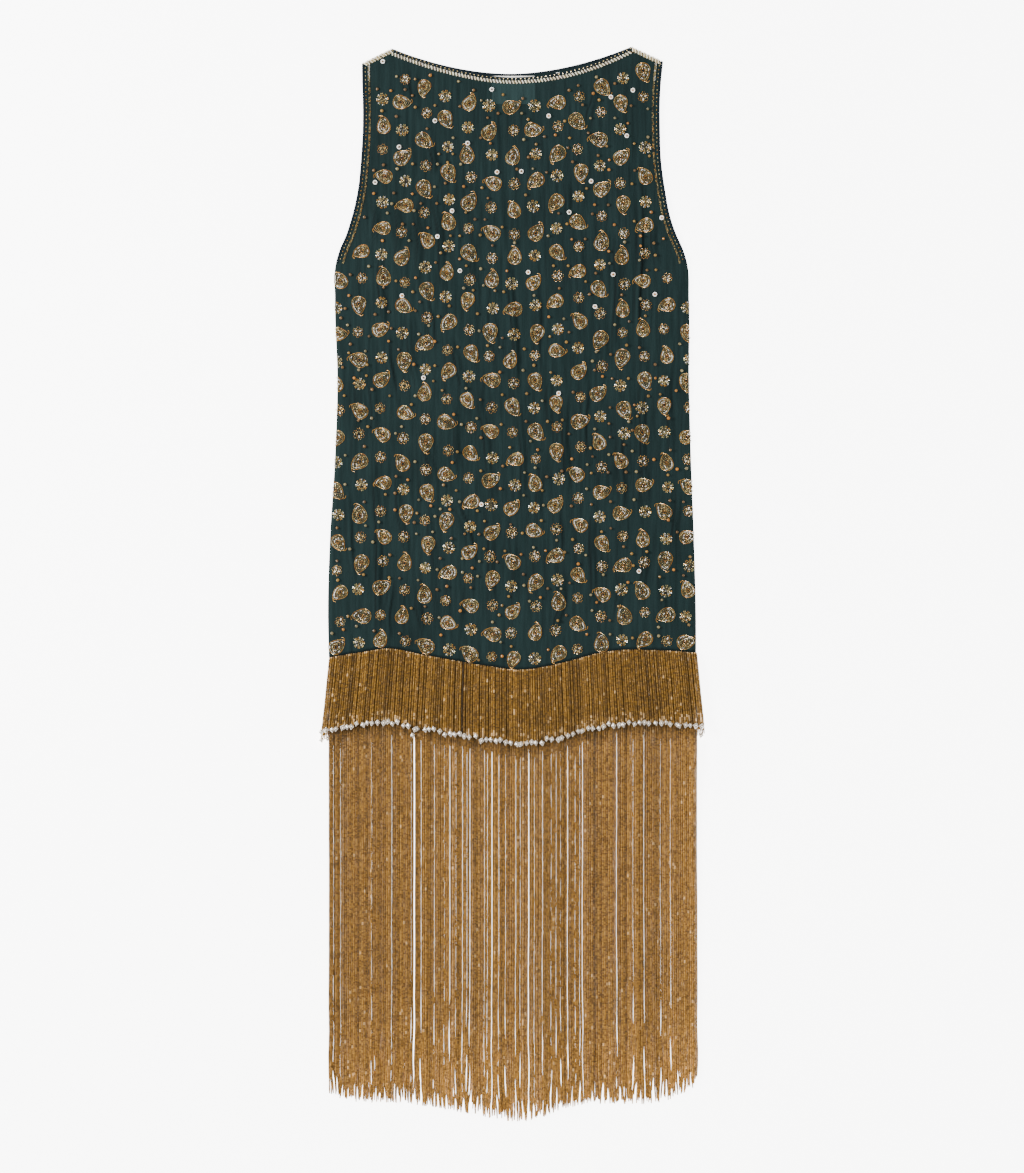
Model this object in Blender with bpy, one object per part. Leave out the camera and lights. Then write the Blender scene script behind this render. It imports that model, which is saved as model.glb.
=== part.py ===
"""A sleeveless shift dress with a beaded, fringed hem, laid flat on its back.

Metres. +X runs to the viewer's right, +Y to the neck, +Z up from the surface.
A drop is a distance below the neck points, measured down the dress.
"""
import math
import random
from collections import namedtuple

import bmesh
import bpy
import numpy as np
from mathutils import Vector
from mathutils.geometry import delaunay_2d_cdt

# Whole dress
LENGTH = 1.4177
TOP_Y = LENGTH / 2
SEAM_GAP = 0.0003

# Cloth walls and how they lie on each other
BACK_WALL = 0.0025
FRONT_WALL = 0.0012
FRONT_LIFT = 0.0013
LIFT_START = 0.012
LIFT_END = 0.052
LIFT_ROWS = 4
FRONT_SEAM_Z = BACK_WALL + SEAM_GAP

# Bindings and bead bands, as distances in from the cloth's edge
BINDING_WIDTH = 0.0038
PANEL_INSET = BINDING_WIDTH + SEAM_GAP
NECK_BAND = (0.0046, 0.0082)
SHOULDER_BAND = (0.0010, 0.0042)
ARMHOLE_BAND = (0.0080, 0.0106)
BAND_HEIGHT = 0.0015
BAND_END_TRIM = 0.0045

# Neck: how far each edge dips below the neck points, and how square the dip is
NECK_LEFT = (-0.1597, 0.0026)
NECK_RIGHT = (0.1558, 0.0000)
SHOULDER_TIP_LEFT = (-0.1993, 0.0224)
SHOULDER_TIP_RIGHT = (0.1980, 0.0198)
FRONT_NECK_DIP = 0.0396
BACK_NECK_DIP = 0.0343
FRONT_NECK_SHAPE = {"left": 1.65, "right": 2.1}
BACK_NECK_SHAPE = {"left": 1.85, "right": 1.85}
UNDERARM_DROP = 0.2851

# Half widths of the body from the centre line, down the armholes and the side seams
EdgeRow = namedtuple("EdgeRow", "drop left right")
ARMHOLE_ROWS = (
    EdgeRow(0.0211, 0.1993, 0.1980),
    EdgeRow(0.0462, 0.1991, 0.1954),
    EdgeRow(0.0700, 0.1983, 0.1940),
    EdgeRow(0.1096, 0.1983, 0.1940),
    EdgeRow(0.1492, 0.2006, 0.1954),
    EdgeRow(0.1888, 0.2046, 0.2006),
    EdgeRow(0.2284, 0.2136, 0.2086),
    EdgeRow(0.2482, 0.2200, 0.2156),
    EdgeRow(0.2680, 0.2285, 0.2245),
    EdgeRow(0.2851, 0.2336, 0.2297),
)
SIDE_ROWS = (
    EdgeRow(0.2851, 0.2336, 0.2297),
    EdgeRow(0.3340, 0.2350, 0.2323),
    EdgeRow(0.4396, 0.2318, 0.2323),
    EdgeRow(0.5452, 0.2350, 0.2350),
    EdgeRow(0.6508, 0.2416, 0.2389),
    EdgeRow(0.7564, 0.2442, 0.2416),
    EdgeRow(0.8065, 0.2429, 0.2416),
)

# The wavy hem and the ragged line where the long fringe ends
LineRow = namedtuple("LineRow", "x drop")
HEM_ROWS = (
    LineRow(-0.2429, 0.8065),
    LineRow(-0.1954, 0.7986),
    LineRow(-0.1703, 0.7946),
    LineRow(-0.1122, 0.8039),
    LineRow(-0.0356, 0.8171),
    LineRow(0.0079, 0.8224),
    LineRow(0.0660, 0.8131),
    LineRow(0.1162, 0.7999),
    LineRow(0.1399, 0.7966),
    LineRow(0.1861, 0.7966),
    LineRow(0.2416, 0.7999),
)
FRINGE_END_ROWS = (
    LineRow(-0.2442, 1.3807),
    LineRow(-0.2152, 1.3900),
    LineRow(-0.1492, 1.3940),
    LineRow(-0.0964, 1.4005),
    LineRow(-0.0568, 1.4084),
    LineRow(0.0092, LENGTH),
    LineRow(0.0356, 1.4137),
    LineRow(0.0620, 1.4030),
    LineRow(0.1148, 1.3950),
    LineRow(0.1940, 1.3926),
    LineRow(0.2429, 1.3720),
)

# Creases of the crinkled front: where each starts and ends, and how high it stands
FOLD_HALF_WIDTH = 0.0058
FOLD_STEP = 0.022
FOLD_WOBBLE = 0.0016
Fold = namedtuple("Fold", "x_top drop_top x_end drop_end height")
FOLDS = (
    Fold(-0.140, 0.034, -0.138, 0.078, 0.0020),
    Fold(-0.107, 0.130, -0.103, 0.168, 0.0026),
    Fold(-0.103, 0.201, -0.090, 0.324, 0.0026),
    Fold(-0.182, 0.209, -0.180, 0.258, 0.0020),
    Fold(-0.209, 0.290, -0.200, 0.361, 0.0014),
    Fold(-0.176, 0.271, -0.171, 0.368, 0.0026),
    Fold(-0.151, 0.201, -0.151, 0.271, 0.0020),
    Fold(-0.127, 0.209, -0.123, 0.297, 0.0020),
    Fold(-0.114, 0.335, -0.103, 0.395, 0.0020),
    Fold(-0.085, 0.385, -0.061, 0.456, 0.0026),
    Fold(-0.079, 0.485, -0.068, 0.571, 0.0020),
    Fold(-0.140, 0.359, -0.127, 0.456, 0.0020),
    Fold(-0.165, 0.385, -0.156, 0.473, 0.0020),
    Fold(-0.191, 0.407, -0.182, 0.517, 0.0020),
    Fold(-0.182, 0.541, -0.176, 0.773, 0.0026),
    Fold(-0.206, 0.429, -0.209, 0.561, 0.0014),
    Fold(-0.220, 0.582, -0.209, 0.709, 0.0020),
    Fold(-0.156, 0.553, -0.140, 0.677, 0.0020),
    Fold(-0.123, 0.495, -0.101, 0.585, 0.0020),
    Fold(-0.110, 0.617, -0.103, 0.703, 0.0020),
    Fold(-0.074, 0.597, -0.048, 0.681, 0.0026),
    Fold(-0.048, 0.451, -0.026, 0.583, 0.0020),
    Fold(-0.033, 0.625, -0.026, 0.735, 0.0020),
    Fold(-0.054, 0.241, -0.049, 0.333, 0.0020),
    Fold(-0.028, 0.317, -0.022, 0.405, 0.0014),
    Fold(-0.004, 0.277, 0.005, 0.453, 0.0026),
    Fold(0.009, 0.473, 0.014, 0.597, 0.0020),
    Fold(-0.002, 0.643, 0.005, 0.751, 0.0020),
    Fold(0.031, 0.321, 0.036, 0.429, 0.0020),
    Fold(0.038, 0.535, 0.033, 0.641, 0.0020),
    Fold(0.049, 0.429, 0.047, 0.515, 0.0014),
    Fold(0.069, 0.462, 0.069, 0.595, 0.0026),
    Fold(0.060, 0.614, 0.062, 0.676, 0.0020),
    Fold(0.069, 0.695, 0.055, 0.779, 0.0026),
    Fold(0.069, 0.179, 0.075, 0.236, 0.0020),
    Fold(0.108, 0.055, 0.097, 0.114, 0.0020),
    Fold(0.097, 0.445, 0.093, 0.553, 0.0020),
    Fold(0.106, 0.605, 0.104, 0.737, 0.0026),
    Fold(0.119, 0.365, 0.119, 0.425, 0.0014),
    Fold(0.137, 0.255, 0.135, 0.392, 0.0026),
    Fold(0.168, 0.163, 0.165, 0.418, 0.0032),
    Fold(0.166, 0.447, 0.177, 0.605, 0.0026),
    Fold(0.185, 0.221, 0.187, 0.291, 0.0020),
    Fold(0.205, 0.412, 0.207, 0.544, 0.0020),
    Fold(0.143, 0.500, 0.143, 0.629, 0.0020),
    Fold(0.141, 0.676, 0.137, 0.755, 0.0020),
    Fold(0.174, 0.641, 0.170, 0.737, 0.0020),
    Fold(0.216, 0.579, 0.212, 0.682, 0.0020),
    Fold(-0.162, 0.709, -0.165, 0.781, 0.0020),
    Fold(-0.127, 0.713, -0.118, 0.783, 0.0020),
    Fold(0.194, 0.687, 0.199, 0.761, 0.0020),
)

# Bead motifs, raised as low pads: paisleys and flowers by turns, in rows that follow the neck
# at the top and the hem at the bottom
MOTIF_SEED = 11
MOTIF_COLUMNS = 17
MOTIF_ROWS = 23
MOTIF_PITCH_X = 0.0288
MOTIF_FIRST_DROP = 0.034
MOTIF_FIRST_DIP = 0.046
MOTIF_DIP_HALF_WIDTH = 0.160
MOTIF_ABOVE_HEM = 0.0135
MOTIF_JITTER = 0.0030
PAISLEY_LENGTH = 0.0245
PAISLEY_WIDTH = 0.0180
FLOWER_WIDTH = 0.0150
PAISLEY_PAD_HEIGHT = 0.0017
FLOWER_PAD_HEIGHT = 0.0015
PAISLEY_PAD_SIDES = 6
FLOWER_PAD_SIDES = 5
PAD_EDGE_CLEARANCE = 0.0125
PAD_SEAM_CLEARANCE = 0.0008

# Label and tab on the back's inner face: left, right, top drop, bottom drop
LABEL_THICKNESS = 0.0004
NECK_LABEL = (-0.0277, 0.0290, 0.0376, 0.0759)
SIZE_TAB = (0.0568, 0.0713, 0.0352, 0.0550)

# Fringe: each tier hangs from a strip just below the cloth's edge
FRINGE_HALF_WIDTH = 0.2422
STRIP_WIDTH = 0.0035
STRAND_THICKNESS = 0.0016
STRAND_FILL = 0.76
STRAND_TIP_FILL = 0.55
HEM_GAP = 0.0005
STRIP_CHORD = 0.0145
SHORT_DROP = 0.0950
BACK_CRYSTALS_LOWER = 0.0120
CRYSTAL_HALF_WIDTH = 0.0029
CRYSTAL_HALF_HEIGHT = 0.0024
CRYSTAL_NECK_FILL = 0.45
CRYSTAL_HALF_LENGTH = 0.0036
LANDING_DROP = 0.190
FLOOR_CLEARANCE = 0.0003
LAYER_STEP = STRAND_THICKNESS + SEAM_GAP
SHORT_FLARE = 1.040
LONG_FLARE = 1.004
END_RAGGEDNESS = 0.005
END_LEAN = 0.0012
LEAN_START = 0.35
FRINGE_SEED = 5
FRONT_STRANDS = 70
BACK_STRANDS = 44


def make_material(name, colour, roughness, metallic=0.0):
    """A Principled material from a colour given as 8-bit display values."""
    material = bpy.data.materials.new(name)
    material.use_nodes = True
    shader = material.node_tree.nodes["Principled BSDF"]
    linear = [(channel / 255) ** 2.2 for channel in colour]
    shader.inputs["Base Color"].default_value = (*linear, 1.0)
    shader.inputs["Roughness"].default_value = roughness
    shader.inputs["Metallic"].default_value = metallic
    return material


def smooth_value(keys, values, at):
    """Cubic curve through a table's rows, read at one place."""
    at = min(max(at, keys[0]), keys[-1])
    slopes = np.gradient(np.array(values), np.array(keys))
    index = min(int(np.searchsorted(keys, at, side="right")) - 1, len(keys) - 2)
    span = keys[index + 1] - keys[index]
    t = (at - keys[index]) / span
    return (
        values[index] * (2 * t**3 - 3 * t**2 + 1)
        + slopes[index] * span * (t**3 - 2 * t**2 + t)
        + values[index + 1] * (3 * t**2 - 2 * t**3)
        + slopes[index + 1] * span * (t**3 - t**2)
    )


def edge_x(rows, drop, side):
    """Where the body's edge lies across the dress, side is -1 for left and 1 for right."""
    widths = [row.left if side < 0 else row.right for row in rows]
    return side * smooth_value([row.drop for row in rows], widths, drop)


def line_drop(rows, x):
    """How far down a line such as the hem runs at one place across the dress."""
    return smooth_value([row.x for row in rows], [row.drop for row in rows], x)


def neck_path(dip, shape, steps=26):
    """The neck edge from the left neck point to the right one."""
    middle = (NECK_LEFT[0] + NECK_RIGHT[0]) / 2
    half = (NECK_RIGHT[0] - NECK_LEFT[0]) / 2
    path = []
    for step in range(steps + 1):
        u = (2 * step / steps - 1 - math.cos(math.pi * step / steps)) / 2
        power = shape["left"] if u < 0 else shape["right"]
        base = NECK_LEFT[1] + (NECK_RIGHT[1] - NECK_LEFT[1]) * (u + 1) / 2
        path.append((middle + half * u, TOP_Y - base - dip * (1 - abs(u) ** power)))
    return path


def armhole_path(side, steps=14):
    """One armhole's edge, upward on the left and downward on the right."""
    tip = SHOULDER_TIP_LEFT if side < 0 else SHOULDER_TIP_RIGHT
    path = [(tip[0], TOP_Y - tip[1])]
    for step in range(1, steps + 1):
        drop = tip[1] + (UNDERARM_DROP - tip[1]) * step / steps
        path.append((edge_x(ARMHOLE_ROWS, drop, side), TOP_Y - drop))
    return path[::-1] if side < 0 else path


def side_path(side, steps=15):
    """One side seam from just under the armhole to the hem, upward on the left."""
    hem_drop = HEM_ROWS[0].drop if side < 0 else HEM_ROWS[-1].drop
    path = []
    for step in range(steps + 1):
        drop = UNDERARM_DROP + (hem_drop - UNDERARM_DROP) * step / steps
        path.append((edge_x(SIDE_ROWS, drop, side), TOP_Y - drop))
    return path[::-1] if side < 0 else path


def hem_path(steps=44):
    """The hem from right to left."""
    left, right = side_path(-1)[0][0], side_path(1)[-1][0]
    xs = [right + (left - right) * step / steps for step in range(steps + 1)]
    return [(x, TOP_Y - line_drop(HEM_ROWS, x)) for x in xs]


def normals(path):
    """Unit vectors to the right of travel, which point into the cloth."""
    points = np.array(path)
    tangents = np.gradient(points, axis=0)
    tangents /= np.linalg.norm(tangents, axis=1)[:, None]
    return np.stack([tangents[:, 1], -tangents[:, 0]], axis=1)


def inset(path, distance, first_along=None, last_along=None):
    """A path moved into the cloth, its ends sliding along a crossing edge where one is given."""
    inward = normals(path)
    moved = np.array(path) + inward * distance
    for index, along in ((0, first_along), (-1, last_along)):
        if along is not None:
            along = np.array(along) / np.linalg.norm(along)
            moved[index] = np.array(path[index]) + along * distance / np.dot(along, inward[index])
    return [tuple(point) for point in moved]


def shoulder_direction(side):
    """From the shoulder tip towards the neck point."""
    neck, tip = (NECK_LEFT, SHOULDER_TIP_LEFT) if side < 0 else (NECK_RIGHT, SHOULDER_TIP_RIGHT)
    return np.array([neck[0] - tip[0], tip[1] - neck[1]])


def panel_outline(dip, shape):
    """One panel's edge, clockwise, stopping short of its neck and armhole bindings."""
    left_up, right_out = shoulder_direction(-1), -shoulder_direction(1)
    sides = {-1: side_path(-1), 1: side_path(1)}
    underarm_gap = np.array([0.0, 0.0006])
    left_arm = inset(armhole_path(-1), PANEL_INSET, last_along=left_up)
    right_arm = inset(armhole_path(1), PANEL_INSET, first_along=-right_out)
    left_corner = tuple(np.array(sides[-1][-1]) - underarm_gap)
    right_corner = tuple(np.array(sides[1][0]) - underarm_gap)
    left_arm[0] = tuple(np.array(left_arm[0]) - underarm_gap)
    right_arm[-1] = tuple(np.array(right_arm[-1]) - underarm_gap)
    neck = inset(neck_path(dip, shape), PANEL_INSET, first_along=-left_up, last_along=right_out)
    return (
        sides[-1][:-1] + [left_corner] + left_arm + neck + right_arm
        + [right_corner] + sides[1][1:] + hem_path()[1:-1]
    )


def distance_to_paths(points, paths):
    """Shortest distance from each point to a set of open paths."""
    points = np.atleast_2d(points)
    nearest = np.full(len(points), np.inf)
    for path in paths:
        starts, ends = np.array(path[:-1]), np.array(path[1:])
        runs = ends - starts
        for start, run in zip(starts, runs):
            t = np.clip(((points - start) @ run) / (run @ run), 0.0, 1.0)
            gaps = np.linalg.norm(points - start - t[:, None] * run, axis=1)
            nearest = np.minimum(nearest, gaps)
    return nearest


SEAM_PATHS = [
    side_path(-1) + armhole_path(-1)[1:] + [(NECK_LEFT[0], TOP_Y - NECK_LEFT[1])],
    [(NECK_RIGHT[0], TOP_Y - NECK_RIGHT[1])] + armhole_path(1) + side_path(1)[1:],
]
TRIM_PATHS = [
    armhole_path(-1) + [(NECK_LEFT[0], TOP_Y - NECK_LEFT[1])],
    [(NECK_RIGHT[0], TOP_Y - NECK_RIGHT[1])] + armhole_path(1),
    neck_path(FRONT_NECK_DIP, FRONT_NECK_SHAPE),
]
EDGE_PATHS = [side_path(-1), side_path(1), hem_path()]


def front_underside(point):
    """Height of the front's plain inner face: low at its seams, lifted off the back inside."""
    gap = distance_to_paths([point], SEAM_PATHS)[0]
    t = min(max((gap - LIFT_START) / (LIFT_END - LIFT_START), 0.0), 1.0)
    return FRONT_SEAM_Z + FRONT_LIFT * t * t * (3 - 2 * t)


def front_face(point):
    """Height of the front's outer face between its creases and motifs."""
    return front_underside(point) + FRONT_WALL


def motif_sites():
    """Places, kinds and turns of the bead motifs, the same on each run."""
    rng = random.Random(MOTIF_SEED)
    sites = []
    for row in range(MOTIF_ROWS):
        reach = row / (MOTIF_ROWS - 1)
        for column in range(MOTIF_COLUMNS):
            x = (column - (MOTIF_COLUMNS - 1) / 2) * MOTIF_PITCH_X
            x += rng.uniform(-MOTIF_JITTER, MOTIF_JITTER)
            first = MOTIF_FIRST_DROP + MOTIF_FIRST_DIP * max(0.0, 1 - (x / MOTIF_DIP_HALF_WIDTH) ** 2)
            last = line_drop(HEM_ROWS, x) - MOTIF_ABOVE_HEM
            drop = first + (last - first) * reach
            strayed = rng.uniform(-MOTIF_JITTER, MOTIF_JITTER)
            if 0 < row < MOTIF_ROWS - 1:
                drop += strayed
            kind = "paisley" if (row + column) % 2 == 0 else "flower"
            sites.append((x, TOP_Y - drop, kind, rng.uniform(0.0, 2 * math.pi)))
    return sites


def pad_ring(kind, sides):
    """Corner offsets of a motif's pad, before it is turned."""
    corners = []
    for index in range(sides):
        turn = 2 * math.pi * index / sides
        if kind == "paisley":
            along = PAISLEY_LENGTH / 2 * math.cos(turn)
            across = PAISLEY_WIDTH / 2 * math.sin(turn) * (1 - 0.3 * math.cos(turn)) * 1.1
            across += 0.10 * PAISLEY_LENGTH * max(math.cos(turn), 0.0) ** 2
        else:
            along = FLOWER_WIDTH / 2 * math.cos(turn)
            across = FLOWER_WIDTH / 2 * math.sin(turn)
        corners.append((along, across))
    return corners


def raised_pads(outline):
    """Points of the motif pads that fit on the front: a low ring and a raised middle each."""
    points, discs = [], []
    for x, y, kind, turn in motif_sites():
        reach = PAISLEY_LENGTH / 2 if kind == "paisley" else FLOWER_WIDTH / 2
        if not is_inside((x, y), outline):
            continue
        if distance_to_paths([(x, y)], TRIM_PATHS)[0] < reach + PAD_EDGE_CLEARANCE:
            continue
        if distance_to_paths([(x, y)], EDGE_PATHS)[0] < reach + PAD_SEAM_CLEARANCE:
            continue
        sides = PAISLEY_PAD_SIDES if kind == "paisley" else FLOWER_PAD_SIDES
        height = PAISLEY_PAD_HEIGHT if kind == "paisley" else FLOWER_PAD_HEIGHT
        for along, across in pad_ring(kind, sides):
            px = x + along * math.cos(turn) - across * math.sin(turn)
            py = y + along * math.sin(turn) + across * math.cos(turn)
            points.append((px, py, 0.0))
        points.append((x, y, height))
        discs.append((x, y, reach))
    return points, discs


def crease_line(fold, number, t):
    """A crease's crest at one place along it, and the direction across it."""
    start = np.array([fold.x_top, TOP_Y - fold.drop_top])
    run = np.array([fold.x_end, TOP_Y - fold.drop_end]) - start
    across = np.array([run[1], -run[0]]) / np.linalg.norm(run)
    return start + run * t + across * FOLD_WOBBLE * math.sin(7.0 * t + number), across


def crease_height(point):
    """How far the nearest crease lifts the front's outer face at one point."""
    highest = 0.0
    for number, fold in enumerate(FOLDS):
        start = np.array([fold.x_top, TOP_Y - fold.drop_top])
        run = np.array([fold.x_end, TOP_Y - fold.drop_end]) - start
        t = float((np.array(point) - start) @ run / (run @ run))
        if not 0.0 <= t <= 1.0:
            continue
        crest, across = crease_line(fold, number, t)
        away = abs(float((np.array(point) - crest) @ across)) / FOLD_HALF_WIDTH
        if away < 1.0:
            highest = max(highest, fold.height * math.sin(math.pi * (0.08 + 0.84 * t)) * (1.0 - away))
    return highest


def crease_points(discs):
    """Points along each crease: a crest between two feet, left out under a motif's pad."""
    centres = np.array([disc[:2] for disc in discs])
    reaches = np.array([disc[2] for disc in discs])
    points = []
    for number, fold in enumerate(FOLDS):
        length = math.hypot(fold.x_end - fold.x_top, fold.drop_end - fold.drop_top)
        steps = max(2, round(length / FOLD_STEP))
        for step in range(steps + 1):
            crest, across = crease_line(fold, number, step / steps)
            for side in (0, -1, 1):
                point = crest + across * side * FOLD_HALF_WIDTH
                if np.all(np.linalg.norm(centres - point, axis=1) > reaches + 0.0012):
                    points.append((point[0], point[1], 0.0))
    return points


def is_inside(point, outline):
    """Whether a point lies inside a closed outline."""
    x, y = point
    inside = False
    for (x1, y1), (x2, y2) in zip(outline, outline[1:] + outline[:1]):
        if (y1 > y) != (y2 > y) and x < x1 + (y - y1) * (x2 - x1) / (y2 - y1):
            inside = not inside
    return inside


def seam_rows():
    """Points in rows beside the seams, where the front rises off the back."""
    points = []
    for path in SEAM_PATHS:
        points += inset(path, LIFT_START)
        for row in range(1, LIFT_ROWS + 1):
            depth = LIFT_START + (LIFT_END - LIFT_START) * row / LIFT_ROWS
            points += inset(path, depth)[::2]
    return points


def middle_grid(spacing):
    """A plain grid of points over the body."""
    columns = int(0.42 / spacing)
    rows = int(0.84 / spacing)
    return [
        ((column - columns / 2) * spacing, TOP_Y - 0.03 - row * spacing)
        for column in range(columns + 1)
        for row in range(rows + 1)
    ]


def keep_apart(points, wanted, outline, spacing):
    """Adds wanted points to a list where they lie inside and clear of the others."""
    kept = list(points)
    placed = np.array([point[:2] for point in kept]) if kept else np.zeros((0, 2))
    edge = [outline + outline[:1]]
    for point in wanted:
        if not is_inside(point[:2], outline):
            continue
        if distance_to_paths([point[:2]], edge)[0] < spacing:
            continue
        if len(placed) and np.min(np.linalg.norm(placed - point[:2], axis=1)) < spacing:
            continue
        kept.append(point)
        placed = np.vstack([placed, point[:2]])
    return kept


def face_triangles(outline, interior):
    """Triangles over an outline and the points inside it, as indices into both together."""
    flat = [Vector(point[:2]) for point in outline] + [Vector(point[:2]) for point in interior]
    loop = list(range(len(outline)))
    _, _, triangles, sources, _, _ = delaunay_2d_cdt(flat, [], [loop], 1, 1e-7)
    return [[sources[corner][0] for corner in triangle] for triangle in triangles]


def add_object(name, mesh_data, material, collection):
    """A named object from a bmesh, with its faces turned outward."""
    bmesh.ops.recalc_face_normals(mesh_data, faces=mesh_data.faces[:])
    mesh = bpy.data.meshes.new(name)
    mesh_data.to_mesh(mesh)
    mesh_data.free()
    mesh.materials.append(material)
    item = bpy.data.objects.new(name, mesh)
    collection.objects.link(item)
    return item


def make_wall(name, outline, top, bottom, material, collection):
    """A closed wall between two faces that share one outline.

    top and bottom each hold the heights of the outline's points and a list of inner points.
    """
    mesh_data = bmesh.new()
    edges = []
    for heights, interior in (top, bottom):
        rim = [mesh_data.verts.new((x, y, z)) for (x, y), z in zip(outline, heights)]
        inner = [mesh_data.verts.new(point) for point in interior]
        corners = rim + inner
        for triangle in face_triangles(outline, interior):
            mesh_data.faces.new([corners[index] for index in triangle])
        edges.append(rim)
    upper, lower = edges
    for index in range(len(outline)):
        after = (index + 1) % len(outline)
        mesh_data.faces.new((upper[index], upper[after], lower[after], lower[index]))
    loose = [vert for vert in mesh_data.verts if not vert.link_faces]
    bmesh.ops.delete(mesh_data, geom=loose, context="VERTS")
    return add_object(name, mesh_data, material, collection)


def make_back_panel(material, collection):
    """The back: a plain wall, flat underneath."""
    outline = panel_outline(BACK_NECK_DIP, BACK_NECK_SHAPE)
    grid = keep_apart([], middle_grid(0.060), outline, 0.020)
    top = ([BACK_WALL] * len(outline), [(x, y, BACK_WALL) for x, y in grid])
    bottom = ([0.0] * len(outline), [(x, y, 0.0) for x, y in grid])
    make_wall("back_panel", outline, top, bottom, material, collection)


def make_front_panel(material, collection):
    """The front: plain inside, with creases and motif pads raised on its outer face."""
    outline = panel_outline(FRONT_NECK_DIP, FRONT_NECK_SHAPE)
    pads, discs = raised_pads(outline)
    shaped = keep_apart(pads, crease_points(discs), outline, 0.0042)
    band_row = inset(neck_path(FRONT_NECK_DIP, FRONT_NECK_SHAPE), NECK_BAND[1] + 0.001)[1:-1]
    plain = [(x, y, 0.0) for x, y in band_row + seam_rows()]
    shaped = keep_apart(shaped, plain, outline, 0.0038)
    outer = [(x, y, front_face((x, y)) + crease_height((x, y)) + raised) for x, y, raised in shaped]
    inner_points = keep_apart([], band_row + seam_rows() + middle_grid(0.080), outline, 0.0038)
    inner = [(x, y, front_underside((x, y))) for x, y in inner_points]
    top = ([front_face(point) for point in outline], outer)
    bottom = ([front_underside(point) for point in outline], inner)
    make_wall("front_panel", outline, top, bottom, material, collection)


def make_strip(name, inner, outer, low, high, material, collection):
    """A closed narrow strip between two paths, low and high give its faces' heights."""
    mesh_data = bmesh.new()
    rings = []
    for near, far in zip(outer, inner):
        corners = ((near, low), (far, low), (far, high), (near, high))
        rings.append([mesh_data.verts.new((x, y, height((x, y)))) for (x, y), height in corners])
    for before, after in zip(rings, rings[1:]):
        for index in range(4):
            other = (index + 1) % 4
            mesh_data.faces.new((before[index], before[other], after[other], after[index]))
    mesh_data.faces.new(rings[0])
    mesh_data.faces.new(rings[-1])
    return add_object(name, mesh_data, material, collection)


def make_bindings(material, collection):
    """Bindings round the neck and the armholes, level with the panels they finish."""
    levels = {
        "front": (front_underside, front_face, FRONT_NECK_DIP, FRONT_NECK_SHAPE),
        "back": (lambda point: 0.0, lambda point: BACK_WALL, BACK_NECK_DIP, BACK_NECK_SHAPE),
    }
    left_up, right_out = shoulder_direction(-1), -shoulder_direction(1)
    for layer, (low, high, dip, shape) in levels.items():
        edge = neck_path(dip, shape)
        inner = inset(edge, BINDING_WIDTH, first_along=-left_up, last_along=right_out)
        make_strip(f"{layer}_neck_binding", inner, edge, low, high, material, collection)
        for side, word in ((-1, "left"), (1, "right")):
            edge = armhole_path(side)
            ends = {"last_along": left_up} if side < 0 else {"first_along": -right_out}
            inner = inset(edge, BINDING_WIDTH, **ends)
            name = f"{word}_{layer}_armhole_binding"
            make_strip(name, inner, edge, low, high, material, collection)


def trimmed(path, start, end):
    """A path with a length taken off each end."""
    points = np.array(path)
    runs = np.linalg.norm(np.diff(points, axis=0), axis=1)
    along = np.concatenate([[0.0], np.cumsum(runs)])
    places = [start] + [s for s in along if start + 0.003 < s < along[-1] - end - 0.003]
    places.append(along[-1] - end)
    return [(np.interp(s, along, points[:, 0]), np.interp(s, along, points[:, 1])) for s in places]


def make_band(name, path, span, material, collection):
    """A raised bead band on the front, held off its face by the seam gap."""
    outer, inner = inset(path, span[0]), inset(path, span[1])
    make_strip(
        name, inner, outer,
        lambda point: front_face(point) + SEAM_GAP,
        lambda point: front_face(point) + SEAM_GAP + BAND_HEIGHT,
        material, collection,
    )


def make_bead_bands(material, collection):
    """Bead bands round the neck, over the shoulders and round the armholes."""
    neck = trimmed(neck_path(FRONT_NECK_DIP, FRONT_NECK_SHAPE), BAND_END_TRIM, BAND_END_TRIM)
    make_band("neck_bead_band", neck, NECK_BAND, material, collection)
    for side, word in ((-1, "left"), (1, "right")):
        neck_point, tip = (NECK_LEFT, SHOULDER_TIP_LEFT) if side < 0 else (NECK_RIGHT, SHOULDER_TIP_RIGHT)
        ends = [(tip[0], TOP_Y - tip[1]), (neck_point[0], TOP_Y - neck_point[1])]
        shoulder = trimmed(ends if side < 0 else ends[::-1], 0.002, 0.002)
        make_band(f"{word}_shoulder_bead_band", shoulder, SHOULDER_BAND, material, collection)
        low_trim, high_trim = 0.003, BAND_END_TRIM
        trims = (low_trim, high_trim) if side < 0 else (high_trim, low_trim)
        armhole = trimmed(armhole_path(side), *trims)
        make_band(f"{word}_armhole_bead_band", armhole, ARMHOLE_BAND, material, collection)


def make_label(name, extent, material, collection):
    """A thin blank tab on the back's inner face."""
    left, right, top_drop, bottom_drop = extent
    low = BACK_WALL + SEAM_GAP
    bpy.ops.mesh.primitive_cube_add(size=1.0)
    item = bpy.context.object
    item.name = name
    item.data.name = name
    centre = Vector(((left + right) / 2, TOP_Y - (top_drop + bottom_drop) / 2, low + LABEL_THICKNESS / 2))
    size = (right - left, bottom_drop - top_drop, LABEL_THICKNESS)
    for vert in item.data.vertices:
        vert.co = [vert.co[axis] * size[axis] for axis in range(3)]
    item.location = centre
    item.data.materials.append(material)
    for home in list(item.users_collection):
        home.objects.unlink(item)
    collection.objects.link(item)


Station = namedtuple("Station", "drop height half_width half_height")


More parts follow.
